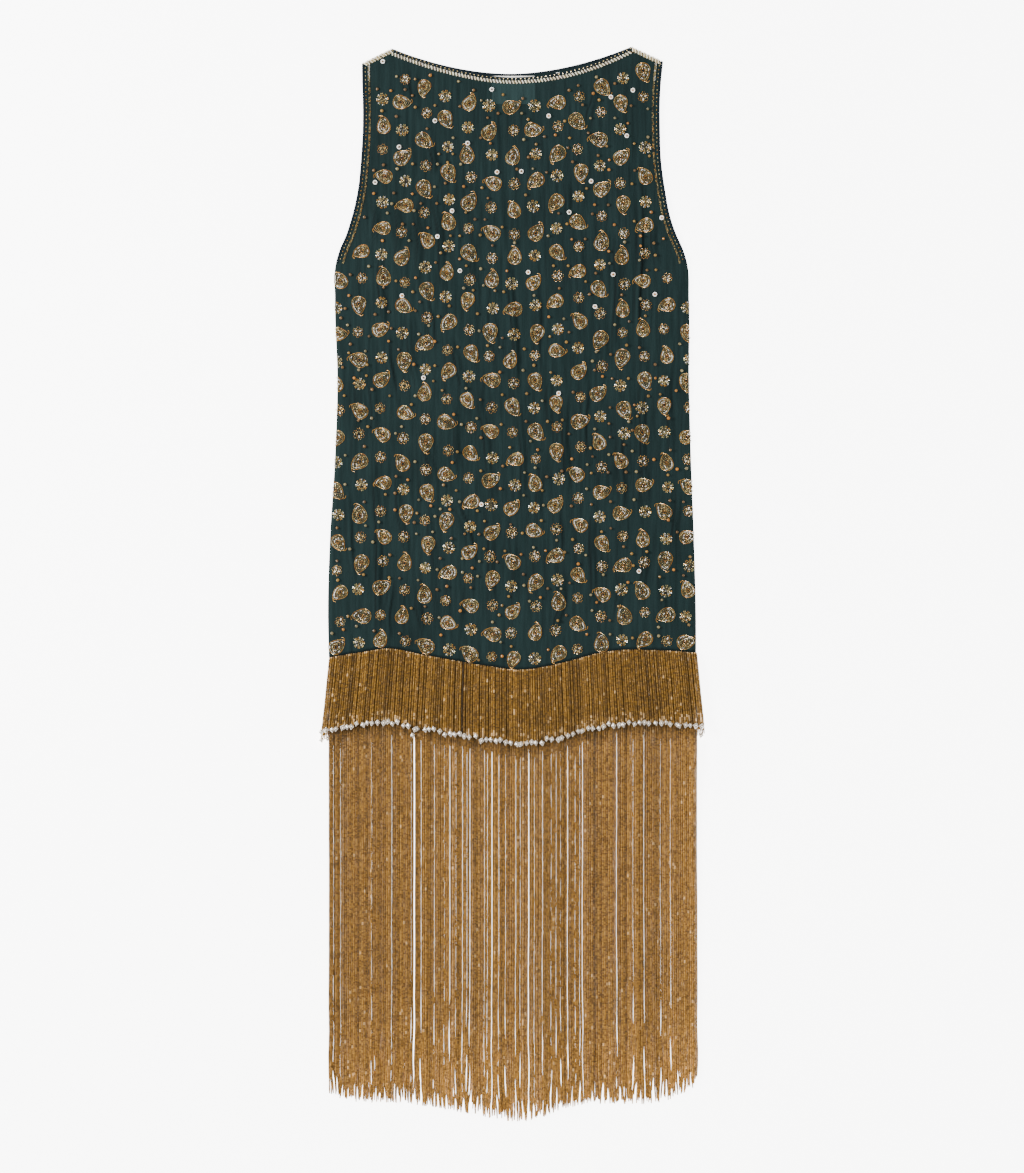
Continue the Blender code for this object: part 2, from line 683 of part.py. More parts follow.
def strand_sections(x, root_drop, stations, flare, lean):
    """Four-cornered sections down one strand, from below its root to its end."""
    sections = []
    for station in stations:
        reach = station.drop / stations[-1].drop
        centre_x = x * (1 + (flare - 1) * reach) + lean * max(reach - LEAN_START, 0.0)
        y = TOP_Y - root_drop - station.drop
        sections.append([
            (centre_x + sx * station.half_width, y, station.height + sz * station.half_height)
            for sx, sz in ((-1, -1), (1, -1), (1, 1), (-1, 1))
        ])
    return sections


def add_strand(mesh_data, root, sections, pointed):
    """Skins one strand from its root corners down, closed by a point or a flat end."""
    before = root
    for section in sections[:-1] if pointed else sections:
        after = [mesh_data.verts.new(corner) for corner in section]
        for index in range(4):
            other = (index + 1) % 4
            mesh_data.faces.new((before[index], before[other], after[other], after[index]))
        before = after
    if pointed:
        tip = mesh_data.verts.new(np.mean(sections[-1], axis=0))
        for index in range(4):
            mesh_data.faces.new((before[index], before[(index + 1) % 4], tip))
    else:
        mesh_data.faces.new(before)


def make_fringe(name, count, layer, stations_for, flare, pointed, material, collection):
    """One tier: strands that leave the lower face of a narrow strip under the hem."""
    rng = random.Random(FRINGE_SEED + layer)
    left = -FRINGE_HALF_WIDTH
    pitch = 2 * FRINGE_HALF_WIDTH / count
    low = FLOOR_CLEARANCE + layer * LAYER_STEP
    high = low + STRAND_THICKNESS
    mesh_data = bmesh.new()

    def strip_corner(x, down, z):
        return mesh_data.verts.new((x, TOP_Y - line_drop(HEM_ROWS, x) - HEM_GAP - down, z))

    lower_edge = []
    for index in range(count):
        x = left + pitch * (index + 0.5)
        half = pitch * STRAND_FILL / 2
        root = [
            strip_corner(x - half, STRIP_WIDTH, low),
            strip_corner(x + half, STRIP_WIDTH, low),
            strip_corner(x + half, STRIP_WIDTH, high),
            strip_corner(x - half, STRIP_WIDTH, high),
        ]
        lower_edge.append(root)
        root_drop = line_drop(HEM_ROWS, x) + HEM_GAP + STRIP_WIDTH
        ragged = rng.uniform(-END_RAGGEDNESS, END_RAGGEDNESS)
        lean = END_LEAN * (1 if index % 2 else -1) * rng.uniform(0.2, 1.0)
        stations = stations_for(x, root_drop, half, ragged)
        add_strand(mesh_data, root, strand_sections(x, root_drop, stations, flare, lean), pointed)

    for before, after in zip(lower_edge, lower_edge[1:]):
        mesh_data.faces.new((before[1], after[0], after[3], before[2]))
    breaks = list(range(0, count, max(1, int(STRIP_CHORD / pitch)))) + [count]
    upper = []
    for index in breaks:
        x = left + pitch * index
        x += pitch * (1 - STRAND_FILL) / 2 * (1 if index == 0 else -1 if index == count else 0)
        upper.append([strip_corner(x, 0.0, low), strip_corner(x, 0.0, high)])
    for number, (first, last) in enumerate(zip(breaks, breaks[1:])):
        group = lower_edge[first:last]
        after = [] if last == count else [lower_edge[last]]
        for level, (near, far) in ((0, (0, 1)), (1, (3, 2))):
            loop = [upper[number][level]]
            for root in group:
                loop += [root[near], root[far]]
            loop += [root[near] for root in after]
            loop.append(upper[number + 1][level])
            mesh_data.faces.new(loop)
        start, end = upper[number], upper[number + 1]
        mesh_data.faces.new((start[0], end[0], end[1], start[1]))
    first, last = lower_edge[0], lower_edge[-1]
    mesh_data.faces.new((upper[0][0], upper[0][1], first[3], first[0]))
    mesh_data.faces.new((upper[-1][0], upper[-1][1], last[2], last[1]))
    bmesh.ops.triangulate(mesh_data, faces=mesh_data.faces[:])
    add_object(name, mesh_data, material, collection)


def short_stations(crystal_drop, crystal_z):
    """Stations of a short strand, which ends in a four-sided double-pointed crystal."""
    def stations(x, root_drop, half, ragged):
        neck = crystal_drop - CRYSTAL_HALF_LENGTH
        end = crystal_drop + CRYSTAL_HALF_LENGTH
        return [
            Station(neck, crystal_z, half * CRYSTAL_NECK_FILL, STRAND_THICKNESS / 2),
            Station(crystal_drop, crystal_z, CRYSTAL_HALF_WIDTH, CRYSTAL_HALF_HEIGHT),
            Station(end, crystal_z, 0.0, 0.0),
        ]
    return stations


def long_stations(layer, hump_drop, hump_z):
    """Stations of a long strand: over the crystals beneath it, down to rest, and to its end."""
    rest_z = FLOOR_CLEARANCE + (layer - 1) * LAYER_STEP

    def stations(x, root_drop, half, ragged):
        end = line_drop(FRINGE_END_ROWS, x) - root_drop - abs(ragged)
        thick = STRAND_THICKNESS / 2
        tip = half * STRAND_TIP_FILL / STRAND_FILL
        return [
            Station(hump_drop, hump_z + thick, half, thick),
            Station(LANDING_DROP, rest_z + thick, half, thick),
            Station(end, rest_z + thick, tip, thick),
        ]
    return stations


def make_fringes(gold, pale_gold, collection):
    """Back short, back long, front long and front short tiers, from the surface up."""
    back_crystal_drop = SHORT_DROP + BACK_CRYSTALS_LOWER
    back_crystal_z = FLOOR_CLEARANCE + CRYSTAL_HALF_HEIGHT
    back_hump = back_crystal_z + CRYSTAL_HALF_HEIGHT + SEAM_GAP
    front_hump = back_hump + LAYER_STEP
    front_root_top = FLOOR_CLEARANCE + 2 * LAYER_STEP + STRAND_THICKNESS
    rise = (front_hump + STRAND_THICKNESS - front_root_top) * SHORT_DROP / back_crystal_drop
    front_crystal_z = front_root_top + rise + SEAM_GAP + CRYSTAL_HALF_HEIGHT
    tiers = (
        ("back_short_fringe", BACK_STRANDS, 0, short_stations(back_crystal_drop, back_crystal_z),
         SHORT_FLARE, True, gold),
        ("back_long_fringe", BACK_STRANDS, 1, long_stations(1, back_crystal_drop, back_hump),
         LONG_FLARE, False, pale_gold),
        ("front_long_fringe", FRONT_STRANDS, 2, long_stations(2, back_crystal_drop, front_hump),
         LONG_FLARE, False, pale_gold),
        ("front_short_fringe", FRONT_STRANDS, 3, short_stations(SHORT_DROP, front_crystal_z),
         SHORT_FLARE, True, gold),
    )
    for name, count, layer, stations, flare, pointed, material in tiers:
        make_fringe(name, count, layer, stations, flare, pointed, material, collection)


def main():
    for item in list(bpy.data.objects):
        bpy.data.objects.remove(item, do_unlink=True)
    collection = bpy.data.collections.new("fringed_dress")
    bpy.context.scene.collection.children.link(collection)
    crepe = make_material("teal_crepe", (37, 53, 54), 0.75)
    binding = make_material("navy_binding", (33, 42, 50), 0.7)
    beads = make_material("silver_gold_beads", (190, 178, 140), 0.3, 0.8)
    gold = make_material("antique_gold_beads", (123, 90, 47), 0.35, 0.7)
    pale_gold = make_material("pale_gold_beads", (157, 119, 74), 0.35, 0.7)
    label = make_material("woven_label", (235, 233, 224), 0.8)
    make_back_panel(crepe, collection)
    make_front_panel(crepe, collection)
    make_bindings(binding, collection)
    make_bead_bands(beads, collection)
    make_label("neck_label", NECK_LABEL, label, collection)
    make_label("size_tab", SIZE_TAB, label, collection)
    make_fringes(gold, pale_gold, collection)


main()
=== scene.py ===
"""The looks of a fringed shift dress laid flat: crinkled crepe, bead embroidery and bead fringe.

Metres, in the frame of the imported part: +X to the viewer's right, +Y to the neck, +Z up.
A drop is a distance below the neck points, measured down the dress.
"""
import math
import random
from collections import namedtuple

import bpy
import numpy as np
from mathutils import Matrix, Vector


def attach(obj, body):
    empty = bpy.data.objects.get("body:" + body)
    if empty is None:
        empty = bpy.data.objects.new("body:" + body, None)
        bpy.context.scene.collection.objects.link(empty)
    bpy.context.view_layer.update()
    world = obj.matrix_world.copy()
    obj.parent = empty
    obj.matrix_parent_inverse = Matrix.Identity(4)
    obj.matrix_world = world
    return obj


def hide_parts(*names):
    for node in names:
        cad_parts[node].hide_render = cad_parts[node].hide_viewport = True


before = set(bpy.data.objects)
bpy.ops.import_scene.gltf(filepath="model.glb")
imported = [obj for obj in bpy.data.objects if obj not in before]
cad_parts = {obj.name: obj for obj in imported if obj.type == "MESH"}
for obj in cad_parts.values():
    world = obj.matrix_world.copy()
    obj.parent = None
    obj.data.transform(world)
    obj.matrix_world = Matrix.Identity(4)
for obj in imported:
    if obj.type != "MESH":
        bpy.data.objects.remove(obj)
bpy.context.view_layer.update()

# Whole dress, as the part has it
LENGTH = 1.4177
TOP_Y = LENGTH / 2
BACK_WALL = 0.0025
FRONT_WALL = 0.0012
FRONT_LIFT = 0.0013
LIFT_START = 0.012
LIFT_END = 0.052
FRONT_SEAM_Z = 0.0028
CLOTH_THICKNESS = 0.0006

# How the cloth's outer faces lie: calm beside its edges, rolled down at its side seams
SIDE_CALM = (0.002, 0.03)
TRIM_CALM = (0.008, 0.03)
SEAM_ROLL_WIDTH = 0.006
FRONT_SEAM_ROLL = 0.0016
BACK_SEAM_ROLL = 0.0003
BACK_FACE_Z = 0.00165
BACK_BEAD_Z = 0.00085
CRINKLE_WAVES = 26
FRONT_CRINKLE = 0.00042
BACK_CRINKLE = 0.00016
# Painted shade along the front's hem: how dark, and the heights above the hem over which it fades
# out
HEM_SHADE = 0.8
HEM_SHADE_ENDS = (0.0006, 0.0030)

# Columns and rows of the two cloths' grids
FRONT_GRID = (232, 150)
BACK_GRID = (120, 96)

# Seeds of all random draws
FRONT_CRINKLE_SEED = 3
BACK_CRINKLE_SEED = 8
MOTIF_SEED = 11
FRONT_TRIM_SEED = 21
BACK_TRIM_SEED = 22
FRONT_BEAD_SEED = 31
BACK_BEAD_SEED = 32
CRYSTAL_SEED = 41
LOOSE_SEED = 51
SINGLE_SEED = 52
FRINGE_SEED = 61
SEQUIN_SEED = 71
SEQUIN_BEAD_SEED = 72

# Bindings and bead rows, as distances in from the cloth's edge
BINDING_WIDTH = 0.0038
FRONT_BINDING_SINK = 0.00045
FRONT_BINDING_HALF = 0.00075
BACK_BINDING_Z = 0.0012
BACK_BINDING_HALF = 0.00115
CLOTH_TUCK = 0.0026
DOT_ROW = 0.0021
NECK_BAND = (0.0046, 0.0082)
SHOULDER_BAND = (0.0010, 0.0042)
ARMHOLE_BAND = (0.0080, 0.0106)

# Neck, shoulders and underarms
NECK_LEFT = (-0.1597, 0.0026)
NECK_RIGHT = (0.1558, 0.0000)
SHOULDER_TIP_LEFT = (-0.1993, 0.0224)
SHOULDER_TIP_RIGHT = (0.1980, 0.0198)
FRONT_NECK_DIP = 0.0396
BACK_NECK_DIP = 0.0343
FRONT_NECK_SHAPE = {"left": 1.65, "right": 2.1}
BACK_NECK_SHAPE = {"left": 1.85, "right": 1.85}
UNDERARM_DROP = 0.2851

# Half widths of the body from the centre line, down the armholes and the side seams
EdgeRow = namedtuple("EdgeRow", "drop left right")
EDGE_ROWS = (
    EdgeRow(0.0211, 0.1993, 0.1980),
    EdgeRow(0.0462, 0.1991, 0.1954),
    EdgeRow(0.0700, 0.1983, 0.1940),
    EdgeRow(0.1096, 0.1983, 0.1940),
    EdgeRow(0.1492, 0.2006, 0.1954),
    EdgeRow(0.1888, 0.2046, 0.2006),
    EdgeRow(0.2284, 0.2136, 0.2086),
    EdgeRow(0.2482, 0.2200, 0.2156),
    EdgeRow(0.2680, 0.2285, 0.2245),
    EdgeRow(0.2851, 0.2336, 0.2297),
    EdgeRow(0.3340, 0.2350, 0.2323),
    EdgeRow(0.4396, 0.2318, 0.2323),
    EdgeRow(0.5452, 0.2350, 0.2350),
    EdgeRow(0.6508, 0.2416, 0.2389),
    EdgeRow(0.7564, 0.2442, 0.2416),
    EdgeRow(0.8065, 0.2429, 0.2416),
)

# The wavy hem and the ragged line where the long fringe ends
LineRow = namedtuple("LineRow", "x drop")
HEM_ROWS = (
    LineRow(-0.2429, 0.8065),
    LineRow(-0.1954, 0.7986),
    LineRow(-0.1703, 0.7946),
    LineRow(-0.1122, 0.8039),
    LineRow(-0.0356, 0.8171),
    LineRow(0.0079, 0.8224),
    LineRow(0.0660, 0.8131),
    LineRow(0.1162, 0.7999),
    LineRow(0.1399, 0.7966),
    LineRow(0.1861, 0.7966),
    LineRow(0.2416, 0.7999),
)
FRINGE_END_ROWS = (
    LineRow(-0.2442, 1.3807),
    LineRow(-0.2152, 1.3900),
    LineRow(-0.1492, 1.3940),
    LineRow(-0.0964, 1.4005),
    LineRow(-0.0568, 1.4084),
    LineRow(0.0092, LENGTH),
    LineRow(0.0356, 1.4137),
    LineRow(0.0620, 1.4030),
    LineRow(0.1148, 1.3950),
    LineRow(0.1940, 1.3926),
    LineRow(0.2429, 1.3720),
)

# Creases of the crinkled front: where each starts and ends, and how high it stands
FOLD_HALF_WIDTH = 0.0058
FOLD_WOBBLE = 0.0016
Fold = namedtuple("Fold", "x_top drop_top x_end drop_end height", defaults=(0.0020,))
FOLDS = (
    Fold(-0.140, 0.034, -0.138, 0.078),
    Fold(-0.107, 0.130, -0.103, 0.168, 0.0026),
    Fold(-0.103, 0.201, -0.090, 0.324, 0.0026),
    Fold(-0.182, 0.209, -0.180, 0.258),
    Fold(-0.209, 0.290, -0.200, 0.361, 0.0014),
    Fold(-0.176, 0.271, -0.171, 0.368, 0.0026),
    Fold(-0.151, 0.201, -0.151, 0.271),
    Fold(-0.127, 0.209, -0.123, 0.297),
    Fold(-0.114, 0.335, -0.103, 0.395),
    Fold(-0.085, 0.385, -0.061, 0.456, 0.0026),
    Fold(-0.079, 0.485, -0.068, 0.571),
    Fold(-0.140, 0.359, -0.127, 0.456),
    Fold(-0.165, 0.385, -0.156, 0.473),
    Fold(-0.191, 0.407, -0.182, 0.517),
    Fold(-0.182, 0.541, -0.176, 0.773, 0.0026),
    Fold(-0.206, 0.429, -0.209, 0.561, 0.0014),
    Fold(-0.220, 0.582, -0.209, 0.709),
    Fold(-0.156, 0.553, -0.140, 0.677),
    Fold(-0.123, 0.495, -0.101, 0.585),
    Fold(-0.110, 0.617, -0.103, 0.703),
    Fold(-0.074, 0.597, -0.048, 0.681, 0.0026),
    Fold(-0.048, 0.451, -0.026, 0.583),
    Fold(-0.033, 0.625, -0.026, 0.735),
    Fold(-0.054, 0.241, -0.049, 0.333),
    Fold(-0.028, 0.317, -0.022, 0.405, 0.0014),
    Fold(-0.004, 0.277, 0.005, 0.453, 0.0026),
    Fold(0.009, 0.473, 0.014, 0.597),
    Fold(-0.002, 0.643, 0.005, 0.751),
    Fold(0.031, 0.321, 0.036, 0.429),
    Fold(0.038, 0.535, 0.033, 0.641),
    Fold(0.049, 0.429, 0.047, 0.515, 0.0014),
    Fold(0.069, 0.462, 0.069, 0.595, 0.0026),
    Fold(0.060, 0.614, 0.062, 0.676),
    Fold(0.069, 0.695, 0.055, 0.779, 0.0026),
    Fold(0.069, 0.179, 0.075, 0.236),
    Fold(0.108, 0.055, 0.097, 0.114),
    Fold(0.097, 0.445, 0.093, 0.553),
    Fold(0.106, 0.605, 0.104, 0.737, 0.0026),
    Fold(0.119, 0.365, 0.119, 0.425, 0.0014),
    Fold(0.137, 0.255, 0.135, 0.392, 0.0026),
    Fold(0.168, 0.163, 0.165, 0.418, 0.0032),
    Fold(0.166, 0.447, 0.177, 0.605, 0.0026),
    Fold(0.185, 0.221, 0.187, 0.291),
    Fold(0.205, 0.412, 0.207, 0.544),
    Fold(0.143, 0.500, 0.143, 0.629),
    Fold(0.141, 0.676, 0.137, 0.755),
    Fold(0.174, 0.641, 0.170, 0.737),
    Fold(0.216, 0.579, 0.212, 0.682),
    Fold(-0.162, 0.709, -0.165, 0.781),
    Fold(-0.127, 0.713, -0.118, 0.783),
    Fold(0.194, 0.687, 0.199, 0.761),
)

# Bead motifs, paisleys and flowers by turns, in the part's rows between the neck and the hem
MOTIF_COLUMNS = 17
MOTIF_ROWS = 23
MOTIF_PITCH_X = 0.0288
MOTIF_FIRST_DROP = 0.034
MOTIF_FIRST_DIP = 0.046
MOTIF_DIP_HALF_WIDTH = 0.160
MOTIF_ABOVE_HEM = 0.0135
MOTIF_JITTER = 0.0030
PAISLEY_LENGTH = 0.0245
PAISLEY_WIDTH = 0.0180
FLOWER_WIDTH = 0.0150
MOTIF_TRIM_GAP = 0.0105
BEAD_SIDES = 4

# Single round beads between the motifs
LOOSE_COUNT = 400
LOOSE_TRIES = 20000
LOOSE_SPACING = 0.0115
LOOSE_EDGE_GAP = 0.004
LOOSE_TRIM_GAP = 0.015
LOOSE_SEQUIN_GAP = 0.0065
LOOSE_MOTIF_GAPS = {"paisley": 0.0135, "flower": 0.0105}
SINGLE_RADIUS = 0.0021
ROUND_SIDES = 7
ROUND_LEVELS = (0.62, 0.0, -0.62)

# Label and tab on the back's inner face: left, right, top drop, bottom drop; and how strongly
# the label shows through the front
LABEL_THICKNESS = 0.0004
GHOST_SHARE = 0.45
NECK_LABEL = (-0.0277, 0.0290, 0.0388, 0.0759)
SIZE_TAB = (0.0568, 0.0713, 0.0341, 0.0550)

# Fringe strands, and the crystals that end the short ones
FRINGE_HALF_WIDTH = 0.2428
STRAND_PITCH = 0.0029
STRAND_RADIUS = 0.00112
BEAD_LENGTH = 0.0019
SHORT_DROP = 0.095
BACK_CRYSTAL_DROP = 0.107
LANDING_DROP = 0.190
SHORT_FLARE = 1.040
LONG_FLARE = 1.004
STRAND_CORNERS = 4
FRINGE_TUCK = 0.0006
CRYSTAL_PITCH = 0.0065
CRYSTAL_RADIUS = 0.0034
CRYSTAL_DEPTH = 0.0026
CRYSTAL_STRAYS = (0.0, 0.0, 0.0004, -0.0006, 0.0012, -0.0012, 0.0026, -0.0024)
# Share of bead pairs given a painted glint
GLINTS = 0.012
DARK_SLIT_X = -0.0663
DARK_SLIT_HALF = 0.0014
LOW_CRYSTAL = (-0.1324, 0.9080)
SHORT_WANDER = 0.0005
LONG_WANDER = 0.0004
BACK_SHORT_PITCH = 1.9 * STRAND_RADIUS

# Heights of a tier at its roots, over the crystals behind it and at rest, how far down
# the short tier covers it and lays painted shade on it, and how many sections a strand has
LongTier = namedtuple("LongTier", "layer root_z hump_z rest_z cover sections")
LONG_TIERS = (
    LongTier("back", 0.0020, 0.0062, 0.0013, BACK_CRYSTAL_DROP, 56),
    LongTier("front", 0.0040, 0.0081, 0.0035, SHORT_DROP, 120),
)
ShortTier = namedtuple("ShortTier", "layer root_z crystal_z length sections strays")
SHORT_TIERS = (
    ShortTier("back", 0.0012, 0.0034, BACK_CRYSTAL_DROP, 16, ()),
    ShortTier("front", 0.0052, 0.0112, SHORT_DROP, 34, (LOW_CRYSTAL,)),
)

# Slow sideways waves that all strands of a tier share
Sway = namedtuple("Sway", "length drift share")
SWAYS = (Sway(0.110, 60.0, 0.4), Sway(0.260, 23.0, 0.7), Sway(0.600, 11.0, 1.2))

# Where light shows between the strands of both long tiers: place across the dress and opening
Slit = namedtuple("Slit", "x width")
SLITS = (
    Slit(-0.2363, 0.00006), Slit(-0.2270, 0.00006), Slit(-0.1861, 0.00003), Slit(-0.1597, 0.00011),
    Slit(-0.1340, 0.00004), Slit(-0.1300, 0.00112), Slit(-0.1210, 0.00011), Slit(-0.1036, 0.00010),
    Slit(-0.0904, 0.00003), Slit(-0.0832, 0.00021), Slit(-0.0752, 0.00004), Slit(-0.0665, 0.00014),
    Slit(-0.0607, 0.00008), Slit(-0.0568, 0.00020), Slit(-0.0376, 0.00008), Slit(-0.0337, 0.00008),
    Slit(-0.0277, 0.00038), Slit(-0.0187, 0.00010), Slit(-0.0099, 0.00007), Slit(0.0036, 0.00013),
    Slit(0.0095, 0.00006), Slit(0.0207, 0.00049), Slit(0.0281, 0.00007), Slit(0.0389, 0.00014),
    Slit(0.0502, 0.00003), Slit(0.0568, 0.00006), Slit(0.0627, 0.00003), Slit(0.0719, 0.00024),
    Slit(0.0818, 0.00004), Slit(0.0878, 0.00007), Slit(0.0915, 0.00024), Slit(0.1364, 0.00022),
    Slit(0.1580, 0.00006), Slit(0.1723, 0.00013), Slit(0.1940, 0.00006), Slit(0.2072, 0.00007),
)
# The slits are closed at the top, and open between these drops
SLIT_OPENS = (0.092, 0.124)
SLIT_OVERLAP = 0.00012

# White sequins on the front, each with a bead at its middle: place across and drop
Sequin = namedtuple("Sequin", "x drop")
SEQUINS = (
    Sequin(0.158, 0.058), Sequin(0.129, 0.067), Sequin(-0.028, 0.057), Sequin(-0.100, 0.098),
    Sequin(-0.021, 0.166), Sequin(0.011, 0.165), Sequin(-0.180, 0.178), Sequin(0.103, 0.178),
    Sequin(0.074, 0.219), Sequin(-0.081, 0.219), Sequin(-0.103, 0.252), Sequin(-0.070, 0.296),
    Sequin(0.020, 0.298), Sequin(0.132, 0.301), Sequin(0.187, 0.327), Sequin(0.111, 0.347),
    Sequin(-0.146, 0.331), Sequin(0.059, 0.462), Sequin(-0.118, 0.437), Sequin(0.166, 0.692),
    Sequin(-0.042, 0.604), Sequin(0.150, 0.118), Sequin(-0.060, 0.133), Sequin(0.047, 0.092),
    Sequin(-0.149, 0.136), Sequin(0.196, 0.226), Sequin(-0.173, 0.026),
)
SEQUIN_RADIUS = 0.0029
SEQUIN_SIDES = 14
SEQUIN_MOTIF_GAP = 0.0008
SEQUIN_TILT = 0.00025
SEQUIN_SECTION = ((0.12, 0.0012), (1.0, 0.0017), (1.0, 0.0019), (0.12, 0.0015))
SEQUIN_BEAD_RADIUS = 0.0017
SEQUIN_BEAD_LIFT = 0.0014

# Colours as 8-bit display values
TEAL = (26, 38, 38)
NAVY = (22, 30, 35)
IVORY = (255, 252, 245)
GOLD = (174, 124, 46)
AMBER = (150, 96, 26)
OLIVE = (112, 100, 66)
CREAM = (188, 166, 110)
LEAF = (138, 138, 92)
CHAMPAGNE = (204, 182, 126)
SILVER = (240, 234, 222)
DARK_BEAD = (44, 38, 26)
BROWN = (90, 62, 20)
UMBER = (120, 90, 34)
GLINT_PEACH = (206, 168, 116)
STRAND_GOLD = (117, 86, 35)
STRAND_PALE = (131, 96, 45)
# Crystal colours: a painted highlight on the rim and a painted see-through brown in the middle
RIM_HIGHLIGHT_WHITE = (255, 251, 244)
RIM_HIGHLIGHT_GREY = (240, 230, 216)
SEEN_THROUGH_DARK = (108, 88, 62)
SEEN_THROUGH_PALE = (160, 146, 124)
SEQUIN_PALE = (250, 248, 242)
SEQUIN_SHADE = (236, 230, 216)
GHOST_TEAL = (44, 61, 61)
PEARL = (255, 244, 216)
SINGLE_TONES = (BROWN, UMBER, OLIVE, UMBER, AMBER, OLIVE, BROWN)

# Ropes of slanted bugles side by side, each second one thinner and lower
Rope = namedtuple("Rope", "band spacing length lean colours")
NECK_ROPE = Rope(NECK_BAND, 0.0021, 0.0047, 1.05, (
    PEARL, DARK_BEAD, PEARL, BROWN, SILVER, DARK_BEAD, PEARL, OLIVE,
))
SHOULDER_ROPE = Rope(SHOULDER_BAND, 0.0020, 0.0064, 1.1, (PEARL, CREAM, PEARL, OLIVE))
BACK_SHOULDER_ROPE = Rope(SHOULDER_BAND, 0.0019, 0.0036, 1.1, (SILVER, OLIVE))
ROPE_LIFT = 0.0008
ROPE_ENDS = 0.0035
ROPE_BEAD_WIDTH = 0.0017
ROPE_THINNER = 0.0006
ROPE_LOWER = 0.0002

# Rows of seeds at one distance in from an edge
SeedRow = namedtuple("SeedRow", "distance spacing size lift ends colours")
NECK_DOTS = SeedRow(DOT_ROW, 0.0056, 0.0019, 0.0009, 0.002, (CREAM, CHAMPAGNE))
SHOULDER_DOTS = SeedRow(0.0002, 0.0058, 0.0018, 0.0010, 0.002, (GOLD, CREAM))
ARMHOLE_DOTS = SeedRow(0.0046, 0.0052, 0.0017, 0.0007, 0.006, (GOLD, CHAMPAGNE))
ARMHOLE_DISTANCES = (ARMHOLE_BAND[0] + 0.0006, ARMHOLE_BAND[1] - 0.0006)
ARMHOLE_ROWS = tuple(
    SeedRow(distance, 0.0018, 0.0016, 0.0006, 0.002, (GOLD, OLIVE, CREAM, OLIVE, DARK_BEAD))
    for distance in ARMHOLE_DISTANCES
)
BACK_ARMHOLE_ROWS = tuple(
    SeedRow(distance, 0.0018, 0.0014, 0.0006, 0.002, (GOLD, CHAMPAGNE, DARK_BEAD))
    for distance in ARMHOLE_DISTANCES
)
SEED_JITTER = 0.0002
PALE_BELOW_SHOULDER = 0.045

# Studio
FLOOR_GLOW = 6.5
FLOOR_SIZE = 60.0
FLOOR_Z = -0.0006
WORLD_COLOUR = (1.0, 0.985, 0.96, 1.0)
WORLD_STRENGTH = 0.85
CAMERA_HEIGHT = 5.0
FRAME_HEIGHT = 1.548
SENSOR_WIDTH = 36.0
AIM = (-0.0013, -0.0033)
Lamp = namedtuple("Lamp", "name place size power")
LAMPS = (
    Lamp("key", (-2.2, 0.7, 1.6), 1.0, 130.0),
    Lamp("fill", (1.9, -0.9, 2.4), 1.6, 40.0),
    Lamp("overhead", (0.2, 0.4, 5.6), 2.6, 190.0),
)


def linear(colour, share=1.0):
    """Scene colour of an 8-bit display colour, made darker or lighter by a share."""
    return tuple((channel / 255) ** 2.2 * share for channel in colour)


def smooth_values(rows, key, value, at):
    """Cubic curve through a table's rows, read at many places."""
    keys = np.array([getattr(row, key) for row in rows])
    values = np.array([getattr(row, value) for row in rows])
    return smooth_curve(keys, values, at)


def smooth_curve(keys, values, at):
    """Cubic curve through values at keys, read at many places."""
    keys, values = np.asarray(keys, float), np.asarray(values, float)
    at = np.clip(at, keys[0], keys[-1])
    slopes = np.gradient(values, keys)
    index = np.clip(np.searchsorted(keys, at, side="right") - 1, 0, len(keys) - 2)
    span = keys[index + 1] - keys[index]
    t = (at - keys[index]) / span
    return (
        values[index] * (2 * t**3 - 3 * t**2 + 1)
        + slopes[index] * span * (t**3 - 2 * t**2 + t)
        + values[index + 1] * (3 * t**2 - 2 * t**3)
        + slopes[index + 1] * span * (t**3 - t**2)
    )


def edge_x(drop, side):
    """Where the body's edge lies across the dress; side is -1 for left and 1 for right."""
    return side * smooth_values(EDGE_ROWS, "drop", "left" if side < 0 else "right", drop)


def hem_drop(x):
    return smooth_values(HEM_ROWS, "x", "drop", x)


def neck_drop(x, dip, shape):
    """How far down the neck edge lies, between the neck points."""
    middle = (NECK_LEFT[0] + NECK_RIGHT[0]) / 2
    half = (NECK_RIGHT[0] - NECK_LEFT[0]) / 2
    u = np.clip((np.asarray(x) - middle) / half, -1.0, 1.0)
    power = np.where(u < 0, shape["left"], shape["right"])
    base = NECK_LEFT[1] + (NECK_RIGHT[1] - NECK_LEFT[1]) * (u + 1) / 2
    return base + dip * (1 - np.abs(u) ** power)


def top_drop(x, dip, shape):
    """How far down the panel's top edge lies: the neck, and the shoulders beside it."""
    x = np.asarray(x, float)
    left = np.interp(x, *zip(SHOULDER_TIP_LEFT, NECK_LEFT))
    right = np.interp(x, *zip(NECK_RIGHT, SHOULDER_TIP_RIGHT))
    neck = neck_drop(x, dip, shape)
    return np.where(x < NECK_LEFT[0], left, np.where(x > NECK_RIGHT[0], right, neck))


def smoothstep(low, high, value):
    t = np.clip((value - low) / (high - low), 0.0, 1.0)
    return t * t * (3 - 2 * t)


def neck_path(dip, shape, steps=120):
    """The neck edge from the left neck point to the right one."""
    turn = np.linspace(0.0, math.pi, steps + 1)
    middle = (NECK_LEFT[0] + NECK_RIGHT[0]) / 2
    half = (NECK_RIGHT[0] - NECK_LEFT[0]) / 2
    x = middle - half * np.cos(turn)
    return np.stack([x, TOP_Y - neck_drop(x, dip, shape)], axis=1)


def armhole_path(side, steps=90):
    """One armhole's edge, upward on the left and downward on the right."""
    tip = SHOULDER_TIP_LEFT if side < 0 else SHOULDER_TIP_RIGHT
    drop = np.linspace(tip[1], UNDERARM_DROP, steps + 1)
    x = edge_x(drop, side)
    x[0] = tip[0]
    path = np.stack([x, TOP_Y - drop], axis=1)
    return path[::-1] if side < 0 else path


